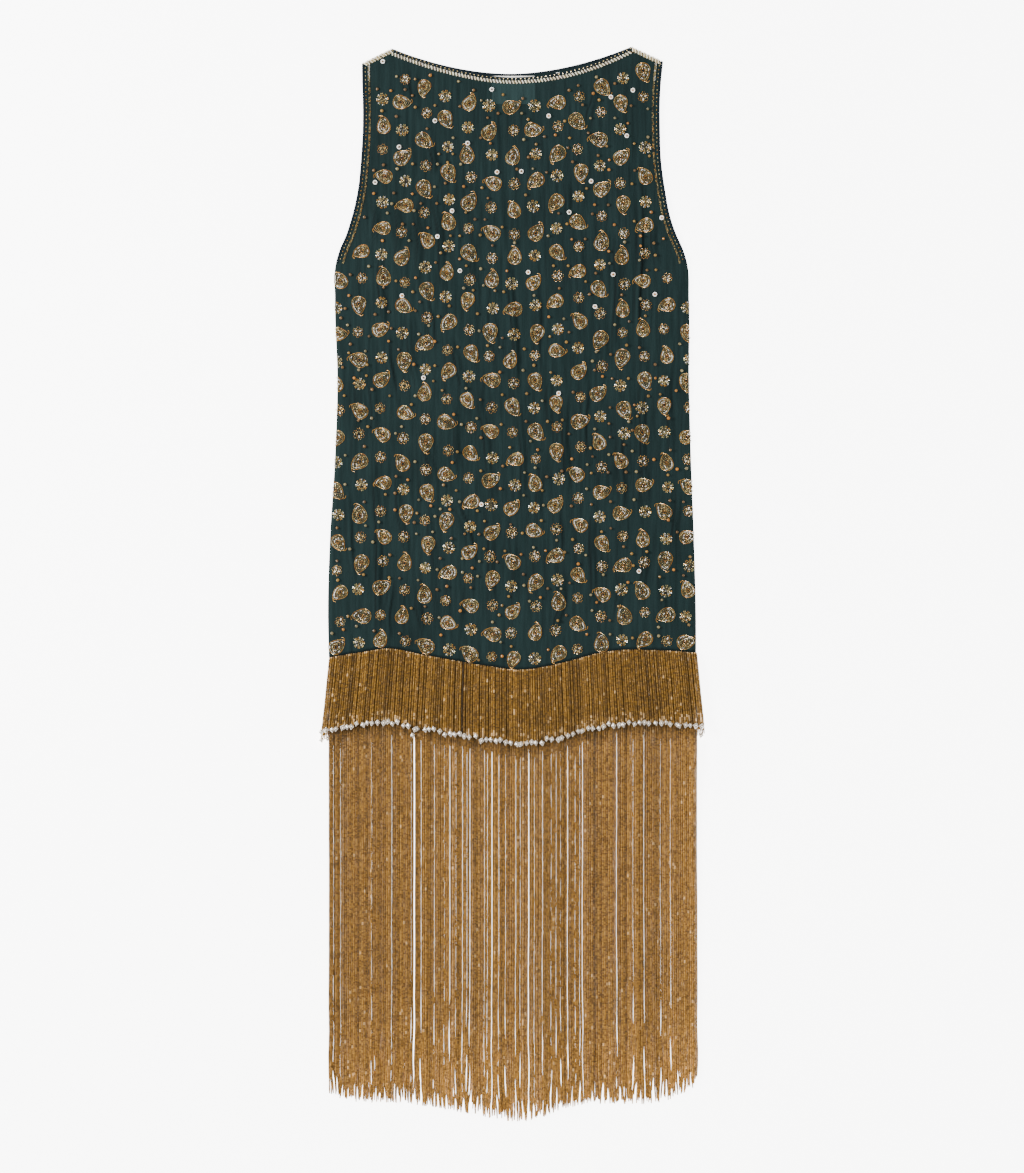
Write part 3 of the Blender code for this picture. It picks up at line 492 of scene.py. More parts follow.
def side_path(side, steps=15):
    """One side seam from the armhole to the hem, upward on the left."""
    hem = (HEM_ROWS[0] if side < 0 else HEM_ROWS[-1]).drop
    drop = np.linspace(UNDERARM_DROP, hem, steps + 1)
    path = np.stack([edge_x(drop, side), TOP_Y - drop], axis=1)
    return path[::-1] if side < 0 else path


def shoulder_path(side, steps=24):
    """One shoulder seam, upward on the left and downward on the right."""
    neck, tip = (NECK_LEFT, SHOULDER_TIP_LEFT) if side < 0 else (NECK_RIGHT, SHOULDER_TIP_RIGHT)
    ends = np.array([(tip[0], TOP_Y - tip[1]), (neck[0], TOP_Y - neck[1])])
    path = ends[0] + (ends[1] - ends[0]) * np.linspace(0, 1, steps + 1)[:, None]
    return path if side < 0 else path[::-1]


def inward(path):
    """Unit vectors to the right of travel, which point into the cloth."""
    tangents = np.gradient(path, axis=0)
    tangents /= np.linalg.norm(tangents, axis=1)[:, None]
    return np.stack([tangents[:, 1], -tangents[:, 0]], axis=1)


def inset(path, distance):
    return path + inward(path) * distance


def walk(path):
    """How far along a path each of its points lies."""
    runs = np.linalg.norm(np.diff(path, axis=0), axis=1)
    return np.concatenate([[0.0], np.cumsum(runs)])


def places_on(path, walked, places):
    return np.stack([np.interp(places, walked, path[:, axis]) for axis in (0, 1)], axis=1)


def along(path, spacing, ends):
    """Points at an even spacing along a path, and the direction of travel at each."""
    walked = walk(path)
    count = max(2, int((walked[-1] - ends - ends) / spacing) + 1)
    points = places_on(path, walked, np.linspace(ends, walked[-1] - ends, count))
    tangents = np.gradient(points, axis=0)
    return points, tangents / np.linalg.norm(tangents, axis=1)[:, None]


def distance_to(points, paths):
    """Shortest distance from each point to a set of open paths."""
    nearest = np.full(len(points), np.inf)
    for path in paths:
        for start, run in zip(path[:-1], np.diff(path, axis=0)):
            t = np.clip(((points - start) @ run) / (run @ run), 0.0, 1.0)
            away = np.linalg.norm(points - start - t[:, None] * run, axis=1)
            nearest = np.minimum(nearest, away)
    return nearest


LEFT_NECK_POINT = [(NECK_LEFT[0], TOP_Y - NECK_LEFT[1])]
RIGHT_NECK_POINT = [(NECK_RIGHT[0], TOP_Y - NECK_RIGHT[1])]
SEAM_PATHS = [
    np.vstack([side_path(-1), armhole_path(-1, 14)[1:], LEFT_NECK_POINT]),
    np.vstack([RIGHT_NECK_POINT, armhole_path(1, 14), side_path(1)[1:]]),
]
SIDE_PATHS = [side_path(-1), side_path(1)]
TRIM_PATHS = [
    np.vstack([armhole_path(-1, 14), LEFT_NECK_POINT]),
    np.vstack([RIGHT_NECK_POINT, armhole_path(1, 14)]),
    neck_path(FRONT_NECK_DIP, FRONT_NECK_SHAPE, 26),
]


def front_face(points):
    """Height of the front's outer face between its creases."""
    lift = smoothstep(LIFT_START, LIFT_END, distance_to(points, SEAM_PATHS))
    return FRONT_SEAM_Z + FRONT_WALL + FRONT_LIFT * lift


def beside_fold(points, fold, number):
    """How far across a crease in half widths, how strong it is, and which points it reaches."""
    start = np.array([fold.x_top, TOP_Y - fold.drop_top])
    run = np.array([fold.x_end, TOP_Y - fold.drop_end]) - start
    across = np.array([run[1], -run[0]]) / np.linalg.norm(run)
    t = ((points - start) @ run) / (run @ run)
    near = (t > -0.1) & (t < 1.1)
    s = t[near]
    away = (points[near] - start) @ across - FOLD_WOBBLE * np.sin(7.0 * s + number)
    away = away / FOLD_HALF_WIDTH * (1 if number % 4 else -1)
    fade = np.sin(math.pi * np.clip(0.08 + 0.84 * s, 0, 1)) * smoothstep(-0.1, 0.04, s)
    return away, fade * (1 - smoothstep(0.96, 1.1, s)), near


def crease_height(points):
    """Soft ridges, steeper on the right, each with a shallow trough beside it."""
    total = np.zeros(len(points))
    for number, fold in enumerate(FOLDS):
        away, fade, near = beside_fold(points, fold, number)
        ridge = np.exp(-((away / np.where(away > 0, 0.62, 0.40)) ** 2))
        trough = 0.22 * np.exp(-(((away + 1.05) / 0.38) ** 2))
        total[near] += fold.height * fade * (0.92 * ridge - trough)
    return total


def crease_shade(points):
    """How deep each point lies in the painted shade line beside a crease, from 0 to 1."""
    total = np.zeros(len(points))
    for number, fold in enumerate(FOLDS):
        away, fade, near = beside_fold(points, fold, number)
        line = np.exp(-(((away - 0.50) / 0.26) ** 2))
        line += 0.5 * np.exp(-(((away + 0.85) / 0.30) ** 2))
        total[near] = np.maximum(total[near], line * fade * fold.height / 0.0028)
    return np.clip(total, 0.0, 1.0)


def crinkle(points, seed, height):
    """A fine vertical crinkle: many low waves that run down the cloth."""
    rng = np.random.default_rng(seed)
    total = np.zeros(len(points))
    for _ in range(CRINKLE_WAVES):
        across = 2 * math.pi / rng.uniform(0.007, 0.022)
        down = 2 * math.pi / rng.uniform(0.07, 0.30) * rng.choice((-1, 1))
        drift = 0.6 * np.sin(points[:, 1] * rng.uniform(8, 24) + rng.uniform(0, 6))
        total += np.sin(points[:, 0] * across + points[:, 1] * down + drift + rng.uniform(0, 6.3))
    return total * height / math.sqrt(CRINKLE_WAVES)


def front_surface(points):
    """Height of the front cloth's outer face anywhere on it."""
    to_side = distance_to(points, SIDE_PATHS)
    to_trim = distance_to(points, TRIM_PATHS)
    calm = smoothstep(*SIDE_CALM, to_side) * smoothstep(*TRIM_CALM, to_trim)
    roll = FRONT_SEAM_ROLL * (1 - smoothstep(0.0, SEAM_ROLL_WIDTH, to_side)) ** 1.5
    fine = crinkle(points, FRONT_CRINKLE_SEED, FRONT_CRINKLE)
    return front_face(points) + crease_height(points) + fine * calm - roll


def back_surface(points):
    """Height of the back cloth's outer face, which lies on its beads."""
    to_side = distance_to(points, SIDE_PATHS)
    calm = smoothstep(*SIDE_CALM, to_side)
    roll = BACK_SEAM_ROLL * (1 - smoothstep(0.0, SEAM_ROLL_WIDTH, to_side))
    return BACK_FACE_Z + crinkle(points, BACK_CRINKLE_SEED, BACK_CRINKLE) * calm - roll


def mesh_object(name, points, faces, material, smooth=False):
    """An object from arrays of points and of three- or four-cornered faces."""
    mesh = bpy.data.meshes.new(name)
    mesh.vertices.add(len(points))
    mesh.vertices.foreach_set("co", np.asarray(points, np.float32).ravel())
    corners = np.concatenate([np.asarray(group, np.int32).ravel() for group in faces])
    sizes = np.concatenate([np.full(len(group), np.asarray(group).shape[1]) for group in faces])
    starts = np.concatenate([[0], np.cumsum(sizes)[:-1]]).astype(np.int32)
    mesh.loops.add(len(corners))
    mesh.loops.foreach_set("vertex_index", corners)
    mesh.polygons.add(len(sizes))
    mesh.polygons.foreach_set("loop_start", starts)
    mesh.update(calc_edges=True)
    mesh.polygons.foreach_set("use_smooth", np.full(len(sizes), smooth))
    mesh.validate()
    mesh.materials.append(material)
    item = bpy.data.objects.new(name, mesh)
    bpy.context.scene.collection.objects.link(item)
    return item


def add_number(item, name, values):
    attribute = item.data.attributes.new(name, "FLOAT", "POINT")
    attribute.data.foreach_set("value", np.asarray(values, np.float32))


def add_colour(item, name, values):
    attribute = item.data.attributes.new(name, "FLOAT_COLOR", "POINT")
    colours = np.concatenate([values, np.ones((len(values), 1))], axis=1)
    attribute.data.foreach_set("color", colours.astype(np.float32).ravel())


def grid_faces(rows, columns, offset=0, flip=False):
    """Quads over a grid of points kept row by row."""
    index = np.arange(rows * columns).reshape(rows, columns) + offset
    a, b, c, d = index[:-1, :-1], index[:-1, 1:], index[1:, 1:], index[1:, :-1]
    order = (d, c, b, a) if flip else (a, b, c, d)
    return np.stack([corner.ravel() for corner in order], axis=1)


def tube_faces(index, flip=False):
    """Quads of one or more tubes; the last axis of the index runs round a ring."""
    before, after = index[..., :-1, :], index[..., 1:, :]
    corners = [before, np.roll(before, -1, axis=-1), np.roll(after, -1, axis=-1), after]
    if flip:
        corners = [corners[0], *corners[:0:-1]]
    return np.stack(corners, axis=-1).reshape(-1, 4)


def rim_faces(rows, columns):
    """Quads that join the edges of two grids of points, the second straight after the first."""
    index = np.arange(rows * columns).reshape(rows, columns)
    edge = np.concatenate([index[0, :-1], index[:-1, -1], index[-1, :0:-1], index[:0:-1, 0]])
    after = np.roll(edge, -1)
    below = rows * columns
    return np.stack([edge, edge + below, after + below, after], axis=1)


def shell_object(name, upper, lower, material):
    """A closed thin sheet between two grids of points."""
    rows, columns = upper.shape[:2]
    points = np.concatenate([upper.reshape(-1, 3), lower.reshape(-1, 3)])
    faces = [
        grid_faces(rows, columns),
        grid_faces(rows, columns, rows * columns, flip=True),
        rim_faces(rows, columns),
    ]
    return mesh_object(name, points, faces, material, smooth=True)


def panel_grid(columns, rows, dip, shape):
    """Points over a panel, tucked a little way into its neck and armhole bindings."""
    u = np.linspace(0.0, 1.0, columns + 1)
    v = np.linspace(0.0, 1.0, rows + 1)[:, None]
    x_top = SHOULDER_TIP_LEFT[0] + (SHOULDER_TIP_RIGHT[0] - SHOULDER_TIP_LEFT[0]) * u
    x_hem = HEM_ROWS[0].x + (HEM_ROWS[-1].x - HEM_ROWS[0].x) * u
    from_neck = np.minimum(x_top - NECK_LEFT[0], NECK_RIGHT[0] - x_top)
    drop_top = top_drop(x_top, dip, shape) + CLOTH_TUCK * smoothstep(-0.002, 0.004, from_neck)
    drop = hem_drop(x_hem) + (drop_top - hem_drop(x_hem)) * v
    tuck = CLOTH_TUCK * (1 - smoothstep(UNDERARM_DROP - 0.02, UNDERARM_DROP, drop))
    left, right = edge_x(drop, -1) + tuck, edge_x(drop, 1) - tuck
    x = left + (right - left) * u
    return np.stack([x, TOP_Y - drop], axis=2)


def dressed_grid(flat, surface, shift=0.0):
    heights = surface(flat.reshape(-1, 2)).reshape(flat.shape[:2])
    return np.concatenate([flat, heights[:, :, None] + shift], axis=2)


# Materials


def add_node(tree, kind, **settings):
    node = tree.nodes.new("ShaderNode" + kind)
    for name, value in settings.items():
        setattr(node, name, value)
    return node


def feed(tree, socket, source):
    """Sets a socket from another socket, a number or a colour."""
    if isinstance(source, bpy.types.NodeSocket):
        tree.links.new(source, socket)
    elif isinstance(source, tuple) and len(source) == 3 and socket.type == "RGBA":
        socket.default_value = (*source, 1.0)
    else:
        socket.default_value = source


def calculate(tree, operation, first, second=0.0, clamp=False):
    node = add_node(tree, "Math", operation=operation, use_clamp=clamp)
    feed(tree, node.inputs[0], first)
    feed(tree, node.inputs[1], second)
    return node.outputs[0]


def object_place(tree):
    return add_node(tree, "TexCoord").outputs["Object"]


def read_number(tree, name):
    return add_node(tree, "Attribute", attribute_name=name).outputs["Fac"]


def mix_colour(tree, factor, first, second):
    node = add_node(tree, "Mix", data_type="RGBA")
    feed(tree, node.inputs["Factor"], factor)
    feed(tree, node.inputs[6], first)
    feed(tree, node.inputs[7], second)
    return node.outputs[2]


def white_noise(tree, first, second):
    """A chance from 0 to 1 for each pair of numbers."""
    key = add_node(tree, "CombineXYZ")
    tree.links.new(first, key.inputs["X"])
    tree.links.new(second, key.inputs["Y"])
    node = add_node(tree, "TexWhiteNoise", noise_dimensions="2D")
    tree.links.new(key.outputs[0], node.inputs["Vector"])
    return node.outputs["Value"]


def noise(tree, vector, scale, detail=2.0, stretch=(1.0, 1.0, 1.0)):
    mapping = add_node(tree, "Mapping")
    mapping.inputs["Scale"].default_value = stretch
    tree.links.new(vector, mapping.inputs["Vector"])
    node = add_node(tree, "TexNoise")
    tree.links.new(mapping.outputs[0], node.inputs["Vector"])
    node.inputs["Scale"].default_value = scale
    node.inputs["Detail"].default_value = detail
    return node.outputs["Fac"]


def spread(tree, value, low, high, to_low, to_high):
    """Maps one range of numbers to another."""
    node = add_node(tree, "MapRange")
    names = ("From Min", "From Max", "To Min", "To Max")
    for name, number in zip(names, (low, high, to_low, to_high)):
        node.inputs[name].default_value = number
    tree.links.new(value, node.inputs["Value"])
    return node.outputs["Result"]


def add_bump(tree, shader, height, distance, strength):
    node = add_node(tree, "Bump")
    node.inputs["Distance"].default_value = distance
    node.inputs["Strength"].default_value = strength
    tree.links.new(height, node.inputs["Height"])
    tree.links.new(node.outputs[0], shader.inputs["Normal"])


def new_material(name, **sockets):
    """A Principled material, its plain sockets set by name."""
    material = bpy.data.materials.new(name)
    material.use_nodes = True
    tree = material.node_tree
    shader = tree.nodes["Principled BSDF"]
    for socket, value in sockets.items():
        shader.inputs[socket.replace("_", " ")].default_value = value
    return material, tree, shader


WEAVE_TURN = 6.2832


def weave_height(tree, vector, threads):
    """Crossing threads, as many as given to a metre."""
    waves = []
    for direction in ("X", "Y"):
        wave = add_node(tree, "TexWave", wave_type="BANDS", bands_direction=direction)
        wave.inputs["Scale"].default_value = threads / WEAVE_TURN
        wave.inputs["Distortion"].default_value = 0.8
        tree.links.new(vector, wave.inputs["Vector"])
        waves.append(wave.outputs["Fac"])
    return calculate(tree, "ADD", *waves)


def patch_mask(tree, place, extent):
    """1 where a label of the given extent lies under the cloth, and 0 elsewhere."""
    left, right, top, bottom = extent
    axes = add_node(tree, "SeparateXYZ")
    tree.links.new(place, axes.inputs[0])
    inside_x = calculate(tree, "COMPARE", axes.outputs["X"], (left + right) / 2)
    inside_x.node.inputs[2].default_value = (right - left) / 2
    inside_y = calculate(tree, "COMPARE", axes.outputs["Y"], TOP_Y - (top + bottom) / 2)
    inside_y.node.inputs[2].default_value = (bottom - top) / 2
    return calculate(tree, "MULTIPLY", inside_x, inside_y)


def cloth_material(name, colour, crinkled, ghost=None):
    """A matt woven cloth, if asked for with a crepe's crinkle and a label's paler patch."""
    material, tree, shader = new_material(
        name, Roughness=0.75, Sheen_Weight=0.02, Sheen_Roughness=0.4, Specular_IOR_Level=0.06
    )
    place = object_place(tree)
    broad = spread(tree, noise(tree, place, 9.0, 3.0), 0.3, 0.7, 0.36, 0.62)
    streak = spread(tree, noise(tree, place, 60.0, 4.0, (4.0, 0.30, 1.0)), 0.3, 0.7, -0.24, 0.24)
    mottle = calculate(tree, "ADD", broad, streak, clamp=True)
    shade = mix_colour(tree, mottle, linear(colour, 0.60), linear(colour, 1.40))
    # Painted shade: darker along the line beside each crease and along the hem, as the points'
    # crease values say
    shade = mix_colour(tree, read_number(tree, "crease"), shade, linear(colour, 0.22))
    if ghost:
        under = calculate(tree, "MULTIPLY", patch_mask(tree, place, ghost), GHOST_SHARE)
        shade = mix_colour(tree, under, shade, linear(GHOST_TEAL))
    tree.links.new(shade, shader.inputs["Base Color"])
    weave = weave_height(tree, place, 1500.0)
    height = calculate(tree, "MULTIPLY", weave, 0.25)
    if crinkled:
        fine = noise(tree, place, 130.0, 3.0, (2.2, 0.3, 1.0))
        height = calculate(tree, "ADD", height, calculate(tree, "MULTIPLY", fine, 2.2))
    add_bump(tree, shader, height, 0.0006, 0.8)
    return material


def bead_material(name, metallic, roughness, coat):
    """Glass beads, lined with metal or not, each in the colour that its points carry."""
    material, tree, shader = new_material(
        name, Metallic=metallic, Coat_Weight=coat, Coat_Roughness=0.08
    )
    colour = add_node(tree, "Attribute", attribute_name="bead_colour").outputs["Color"]
    place = object_place(tree)
    cloud = noise(tree, place, 900.0, 2.0)
    shade = mix_colour(tree, spread(tree, cloud, 0.35, 0.65, 0.0, 0.35), colour, linear(DARK_BEAD))
    tree.links.new(shade, shader.inputs["Base Color"])
    worn = spread(tree, cloud, 0.3, 0.7, roughness * 0.6, roughness * 1.5)
    tree.links.new(worn, shader.inputs["Roughness"])
    add_bump(tree, shader, noise(tree, place, 1500.0, 2.0), 0.0002, 0.5)
    return material


def strand_material(name, colour, contrast):
    """A string of small bugle beads, numbered along the strand, a few of them with a painted peach
    glint.
    """
    material, tree, shader = new_material(name, Metallic=0.35, Coat_Weight=0.2, Coat_Roughness=0.2)
    count = read_number(tree, "bead_count")
    strand = read_number(tree, "strand")
    chance = white_noise(tree, calculate(tree, "FLOOR", count), strand)
    shade = mix_colour(tree, chance, linear(colour, 1 - contrast), linear(colour, 1 + contrast))
    # Painted highlights: bead pairs whose chance falls under the glint share are mixed towards
    # peach
    pair = calculate(tree, "FLOOR", calculate(tree, "MULTIPLY", count, 0.5))
    pair_chance = white_noise(tree, pair, calculate(tree, "ADD", strand, 0.5))
    pale = calculate(tree, "LESS_THAN", pair_chance, read_number(tree, "glint"))
    shade = mix_colour(tree, calculate(tree, "MULTIPLY", pale, 0.85), shade, linear(GLINT_PEACH))
    within = calculate(tree, "FRACT", count)
    from_middle = calculate(tree, "ABSOLUTE", calculate(tree, "SUBTRACT", within, 0.5))
    joint = spread(tree, from_middle, 0.36, 0.5, 0.0, 0.6)
    shade = mix_colour(tree, joint, shade, linear(DARK_BEAD))
    # The colour is scaled per strand, and darkened as painted shade where a short tier covers a
    # long one
    scaled = add_node(tree, "VectorMath", operation="SCALE")
    tree.links.new(shade, scaled.inputs[0])
    tree.links.new(read_number(tree, "tone_and_shade"), scaled.inputs["Scale"])
    tree.links.new(scaled.outputs[0], shader.inputs["Base Color"])
    tree.links.new(spread(tree, chance, 0.0, 1.0, 0.5, 0.3), shader.inputs["Roughness"])
    swell = spread(tree, from_middle, 0.25, 0.5, 1.0, 0.0)
    add_bump(tree, shader, swell, 0.0005, 0.7)
    return material


def crystal_material():
    """Cut glass: painted white highlights round the rim and on the tip, its middle painted in the
    brown of the beads behind it.
    """
    material, tree, shader = new_material("crystal", IOR=1.5, Coat_Weight=1.0, Coat_Roughness=0.03)
    place = object_place(tree)
    cloud = noise(tree, place, 420.0, 3.0)
    clouded = spread(tree, cloud, 0.3, 0.7, 0.0, 1.0)
    core = read_number(tree, "core")
    # Painted highlight on the rim and tip, painted see-through brown in the middle
    rim = mix_colour(tree, clouded, linear(RIM_HIGHLIGHT_WHITE), linear(RIM_HIGHLIGHT_GREY))
    middle = mix_colour(tree, clouded, linear(SEEN_THROUGH_DARK), linear(SEEN_THROUGH_PALE))
    tree.links.new(mix_colour(tree, core, rim, middle), shader.inputs["Base Color"])
    tree.links.new(calculate(tree, "MULTIPLY", core, 0.2), shader.inputs["Transmission Weight"])
    tree.links.new(spread(tree, cloud, 0.3, 0.7, 0.05, 0.2), shader.inputs["Roughness"])
    return material


def sequin_material():
    """Pearly white plastic."""
    material, tree, shader = new_material("pearl_sequin", Roughness=0.3, Coat_Weight=0.5)
    place = object_place(tree)
    cloud = noise(tree, place, 300.0, 2.0)
    clouded = spread(tree, cloud, 0.3, 0.7, 0.0, 1.0)
    shade = mix_colour(tree, clouded, linear(SEQUIN_PALE), linear(SEQUIN_SHADE))
    tree.links.new(shade, shader.inputs["Base Color"])
    return material


def floor_material():
    """A pale floor, lit from within so that it shows as near white."""
    material, tree, shader = new_material("studio_floor", Roughness=0.9)
    material.cycles.emission_sampling = "NONE"
    place = object_place(tree)
    cloud = noise(tree, place, 0.6, 2.0)
    shade = mix_colour(tree, cloud, (0.90, 0.90, 0.90), (0.93, 0.93, 0.92))
    tree.links.new(shade, shader.inputs["Base Color"])
    shader.inputs["Emission Color"].default_value = (1.0, 1.0, 1.0, 1.0)
    shader.inputs["Emission Strength"].default_value = FLOOR_GLOW
    return material


# Beads

Bead = namedtuple("Bead", "x y lift angle length width colour")


def bead_frames(beads, heights):
    """Centres, long axes and cross axes of beads that lie on a surface."""
    angle = np.array([bead.angle for bead in beads])
    centre = np.array([(bead.x, bead.y, bead.lift) for bead in beads])
    centre[:, 2] += heights
    zero = np.zeros(len(beads))
    axis = np.stack([np.cos(angle), np.sin(angle), zero], axis=1)
    side = np.stack([-np.sin(angle), np.cos(angle), zero], axis=1)
    up = np.tile((0.0, 0.0, 1.0), (len(beads), 1))
    return centre, axis, side, up


def bead_object(name, beads, surface, kind, material):
    """Joins many small beads: seeds are double pyramids, bugles are four-sided rods."""
    flat = np.array([(bead.x, bead.y) for bead in beads])
    centre, axis, side, up = bead_frames(beads, surface(flat))
    half_length = np.array([bead.length for bead in beads])[:, None] / 2
    radius = np.array([bead.width for bead in beads])[:, None] / 2
    colours = np.array([bead.colour for bead in beads])
    corners = []
    if kind == "seed":
        corners += [centre + axis * half_length, centre - axis * half_length]
        pattern = []
        for index in range(BEAD_SIDES):
            turn = 2 * math.pi * (index + 0.5) / BEAD_SIDES
            corners.append(centre + (side * math.cos(turn) + up * math.sin(turn)) * radius)
            near, far = 2 + index, 2 + (index + 1) % BEAD_SIDES
            pattern += [(0, near, far), (1, far, near)]
    else:
        for end in (1, -1):
            for turn in (0.0, 0.5, 1.0, 1.5):
                spoke = side * math.cos(turn * math.pi) + up * math.sin(turn * math.pi)
                corners.append(centre + axis * half_length * end + spoke * radius)
        pattern = [(0, 1, 2), (0, 2, 3), (4, 6, 5), (4, 7, 6)]
        for index in range(BEAD_SIDES):
            after = (index + 1) % BEAD_SIDES
            pattern += [(index, index + 4, after), (after, index + 4, after + 4)]
    points = np.stack(corners, axis=1)
    per_bead = points.shape[1]
    starts = np.arange(len(beads))[:, None, None] * per_bead
    faces = (np.array(pattern)[None] + starts).reshape(-1, 3)
    item = mesh_object(name, points.reshape(-1, 3), [faces], material)
    add_colour(item, "bead_colour", np.repeat(colours, per_bead, axis=0))
    return item


def tint(rng, colour, amount=0.22):
    """A colour a little lighter or darker than the one given."""
    scale = 1 + rng.uniform(-amount, amount)
    return tuple(min(channel * scale, 1.0) for channel in linear(colour))


def motif_sites():
    """Places, kinds and turns of the bead motifs, the same as in the part."""
    rng = random.Random(MOTIF_SEED)
    sites = []
    for row in range(MOTIF_ROWS):
        reach = row / (MOTIF_ROWS - 1)
        for column in range(MOTIF_COLUMNS):
            x = (column - (MOTIF_COLUMNS - 1) / 2) * MOTIF_PITCH_X
            x += rng.uniform(-MOTIF_JITTER, MOTIF_JITTER)
            dip = max(0.0, 1 - (x / MOTIF_DIP_HALF_WIDTH) ** 2)
            first = MOTIF_FIRST_DROP + MOTIF_FIRST_DIP * dip
            last = float(hem_drop(x)) - MOTIF_ABOVE_HEM
            drop = first + (last - first) * reach
            strayed = rng.uniform(-MOTIF_JITTER, MOTIF_JITTER)
            if 0 < row < MOTIF_ROWS - 1:
                drop += strayed
            kind = "paisley" if (row + column) % 2 == 0 else "flower"
            sites.append((x, TOP_Y - drop, kind, rng.uniform(0.0, 2 * math.pi)))
    return sites


def paisley_ring(scale, count):
    """Places and directions of beads evenly round a paisley of a given share of full size."""
    turn = np.linspace(0, 2 * math.pi, 97)
    x = PAISLEY_LENGTH / 2 * np.cos(turn)
    y = PAISLEY_WIDTH / 2 * np.sin(turn) * (1 - 0.34 * np.cos(turn))
    y += 0.06 * PAISLEY_LENGTH * np.maximum(np.cos(turn), 0.0) ** 2
    middle = np.array([-0.08 * PAISLEY_LENGTH * (1 - scale), 0.0])
    path = np.stack([x, y], axis=1) * scale * 0.95 + middle
    walked = walk(path)
    points = places_on(path, walked, np.linspace(0, walked[-1], count, endpoint=False))
    ahead = np.roll(points, -1, axis=0) - np.roll(points, 1, axis=0)
    return points, np.arctan2(ahead[:, 1], ahead[:, 0])


Ring = namedtuple("Ring", "scale count kind length width colours")
PAISLEY_RINGS = (
    Ring(1.00, 38, "seed", 0.0018, 0.0015, (GOLD, GOLD, AMBER, CREAM)),
    Ring(0.80, 15, "bugle", 0.0028, 0.0013, (SILVER, OLIVE, OLIVE, CREAM, SILVER)),
    Ring(0.60, 16, "seed", 0.0018, 0.0013, (GOLD, OLIVE, GOLD, CREAM)),
    Ring(0.42, 8, "bugle", 0.0024, 0.0012, (CREAM, SILVER, OLIVE, CREAM)),
    Ring(0.22, 6, "seed", 0.0020, 0.0017, (GOLD, AMBER)),
    Ring(0.06, 1, "seed", 0.0018, 0.0016, (GOLD, DARK_BEAD)),
)

# The curled tip's beads, in shares of the paisley's length, and the rosette's in each petal
Tip = namedtuple("Tip", "along across angle")
TIPS = (
    Tip(0.505, 0.085, 1.2), Tip(0.535, 0.150, 1.6), Tip(0.525, 0.215, 1.9), Tip(0.480, 0.265, 2.4),
)
Petal = namedtuple("Petal", "radius shift lift colours")
ROSETTE = (
    Petal(0.32, 0.5, 0.0014, (CREAM, DARK_BEAD, OLIVE)),
    Petal(0.62, 0.0, 0.0011, (CREAM, CREAM, SILVER)),
    Petal(0.68, 0.5, 0.0008, (OLIVE, GOLD)),
    Petal(0.95, 0.17, 0.0007, (CREAM, LEAF, GOLD)),
    Petal(0.95, -0.17, 0.0007, (CREAM, GOLD, SILVER)),
)
LOOP_BEADS = 6


def paisley_beads(rng):
    """One paisley about its own centre: rings of beads and a curled tip."""
    beads = {"seed": [], "bugle": []}
    for ring in PAISLEY_RINGS:
        points, angles = paisley_ring(ring.scale, ring.count)
        for (x, y), angle in zip(points, angles):
            lift = 0.0005 + 0.0014 * (1 - ring.scale)
            colour = tint(rng, rng.choice(ring.colours))
            beads[ring.kind].append(Bead(x, y, lift, angle, ring.length, ring.width, colour))
    for tip in TIPS:
        x, y = tip.along * PAISLEY_LENGTH, tip.across * PAISLEY_LENGTH
        beads["seed"].append(Bead(x, y, 0.0005, tip.angle, 0.0019, 0.0014, tint(rng, GOLD)))
    return beads


def flower_beads(rng, looped):
    """One flower about its own centre: a cream rosette, or gold loops with bright spokes."""
    beads = {"seed": [], "bugle": []}
    reach = FLOWER_WIDTH / 2
    petals = rng.choice((6, 7)) if looped else 8

    def put(x, y, angle, lift, colours, size=0.0017):
        colour = tint(rng, rng.choice(colours))
        beads["seed"].append(Bead(x, y, lift, angle, size * 1.2, size, colour))

    put(0.0, 0.0, 0.0, 0.0016, (OLIVE, GOLD, DARK_BEAD), 0.0019)
    for petal in range(petals):
        turn = 2 * math.pi * petal / petals
        c, s = math.cos(turn), math.sin(turn)
        if looped:
            for step in range(LOOP_BEADS):
                around = turn + 2 * math.pi * (step + 0.5) / LOOP_BEADS
                x = reach * (0.64 * c + 0.32 * math.cos(around))
                y = reach * (0.64 * s + 0.32 * math.sin(around))
                put(x, y, around + math.pi / 2, 0.0007, (GOLD, AMBER, GOLD, CREAM), 0.0014)
            if petal % 2 == 0:
                colour = tint(rng, rng.choice((SILVER, SILVER, CREAM)))
                x, y = reach * 0.46 * c, reach * 0.46 * s
                beads["bugle"].append(Bead(x, y, 0.0015, turn, 0.0032, 0.0014, colour))
            else:
                put(reach * 0.50 * c, reach * 0.50 * s, turn, 0.0011, (OLIVE, CREAM))
        else:
            for part in ROSETTE:
                angle = turn + part.shift * 2 * math.pi / petals
                x = reach * part.radius * math.cos(angle)
                y = reach * part.radius * math.sin(angle)
                put(x, y, angle, part.lift, part.colours, 0.0020)
    return beads


def placed(bead, x, y, turn, size):
    """A motif's bead, turned and moved to its site."""
    c, s = math.cos(turn) * size, math.sin(turn) * size
    return bead._replace(
        x=x + bead.x * c - bead.y * s, y=y + bead.x * s + bead.y * c, angle=bead.angle + turn
    )


def on_panel(points, dip, shape, margin):
    """Which points lie on a panel, at least a margin in from its edge."""
    x, drop = points[:, 0], TOP_Y - points[:, 1]
    inside = (x > edge_x(drop, -1) + margin) & (x < edge_x(drop, 1) - margin)
    return inside & (drop > top_drop(x, dip, shape) + margin) & (drop < hem_drop(x) - margin)


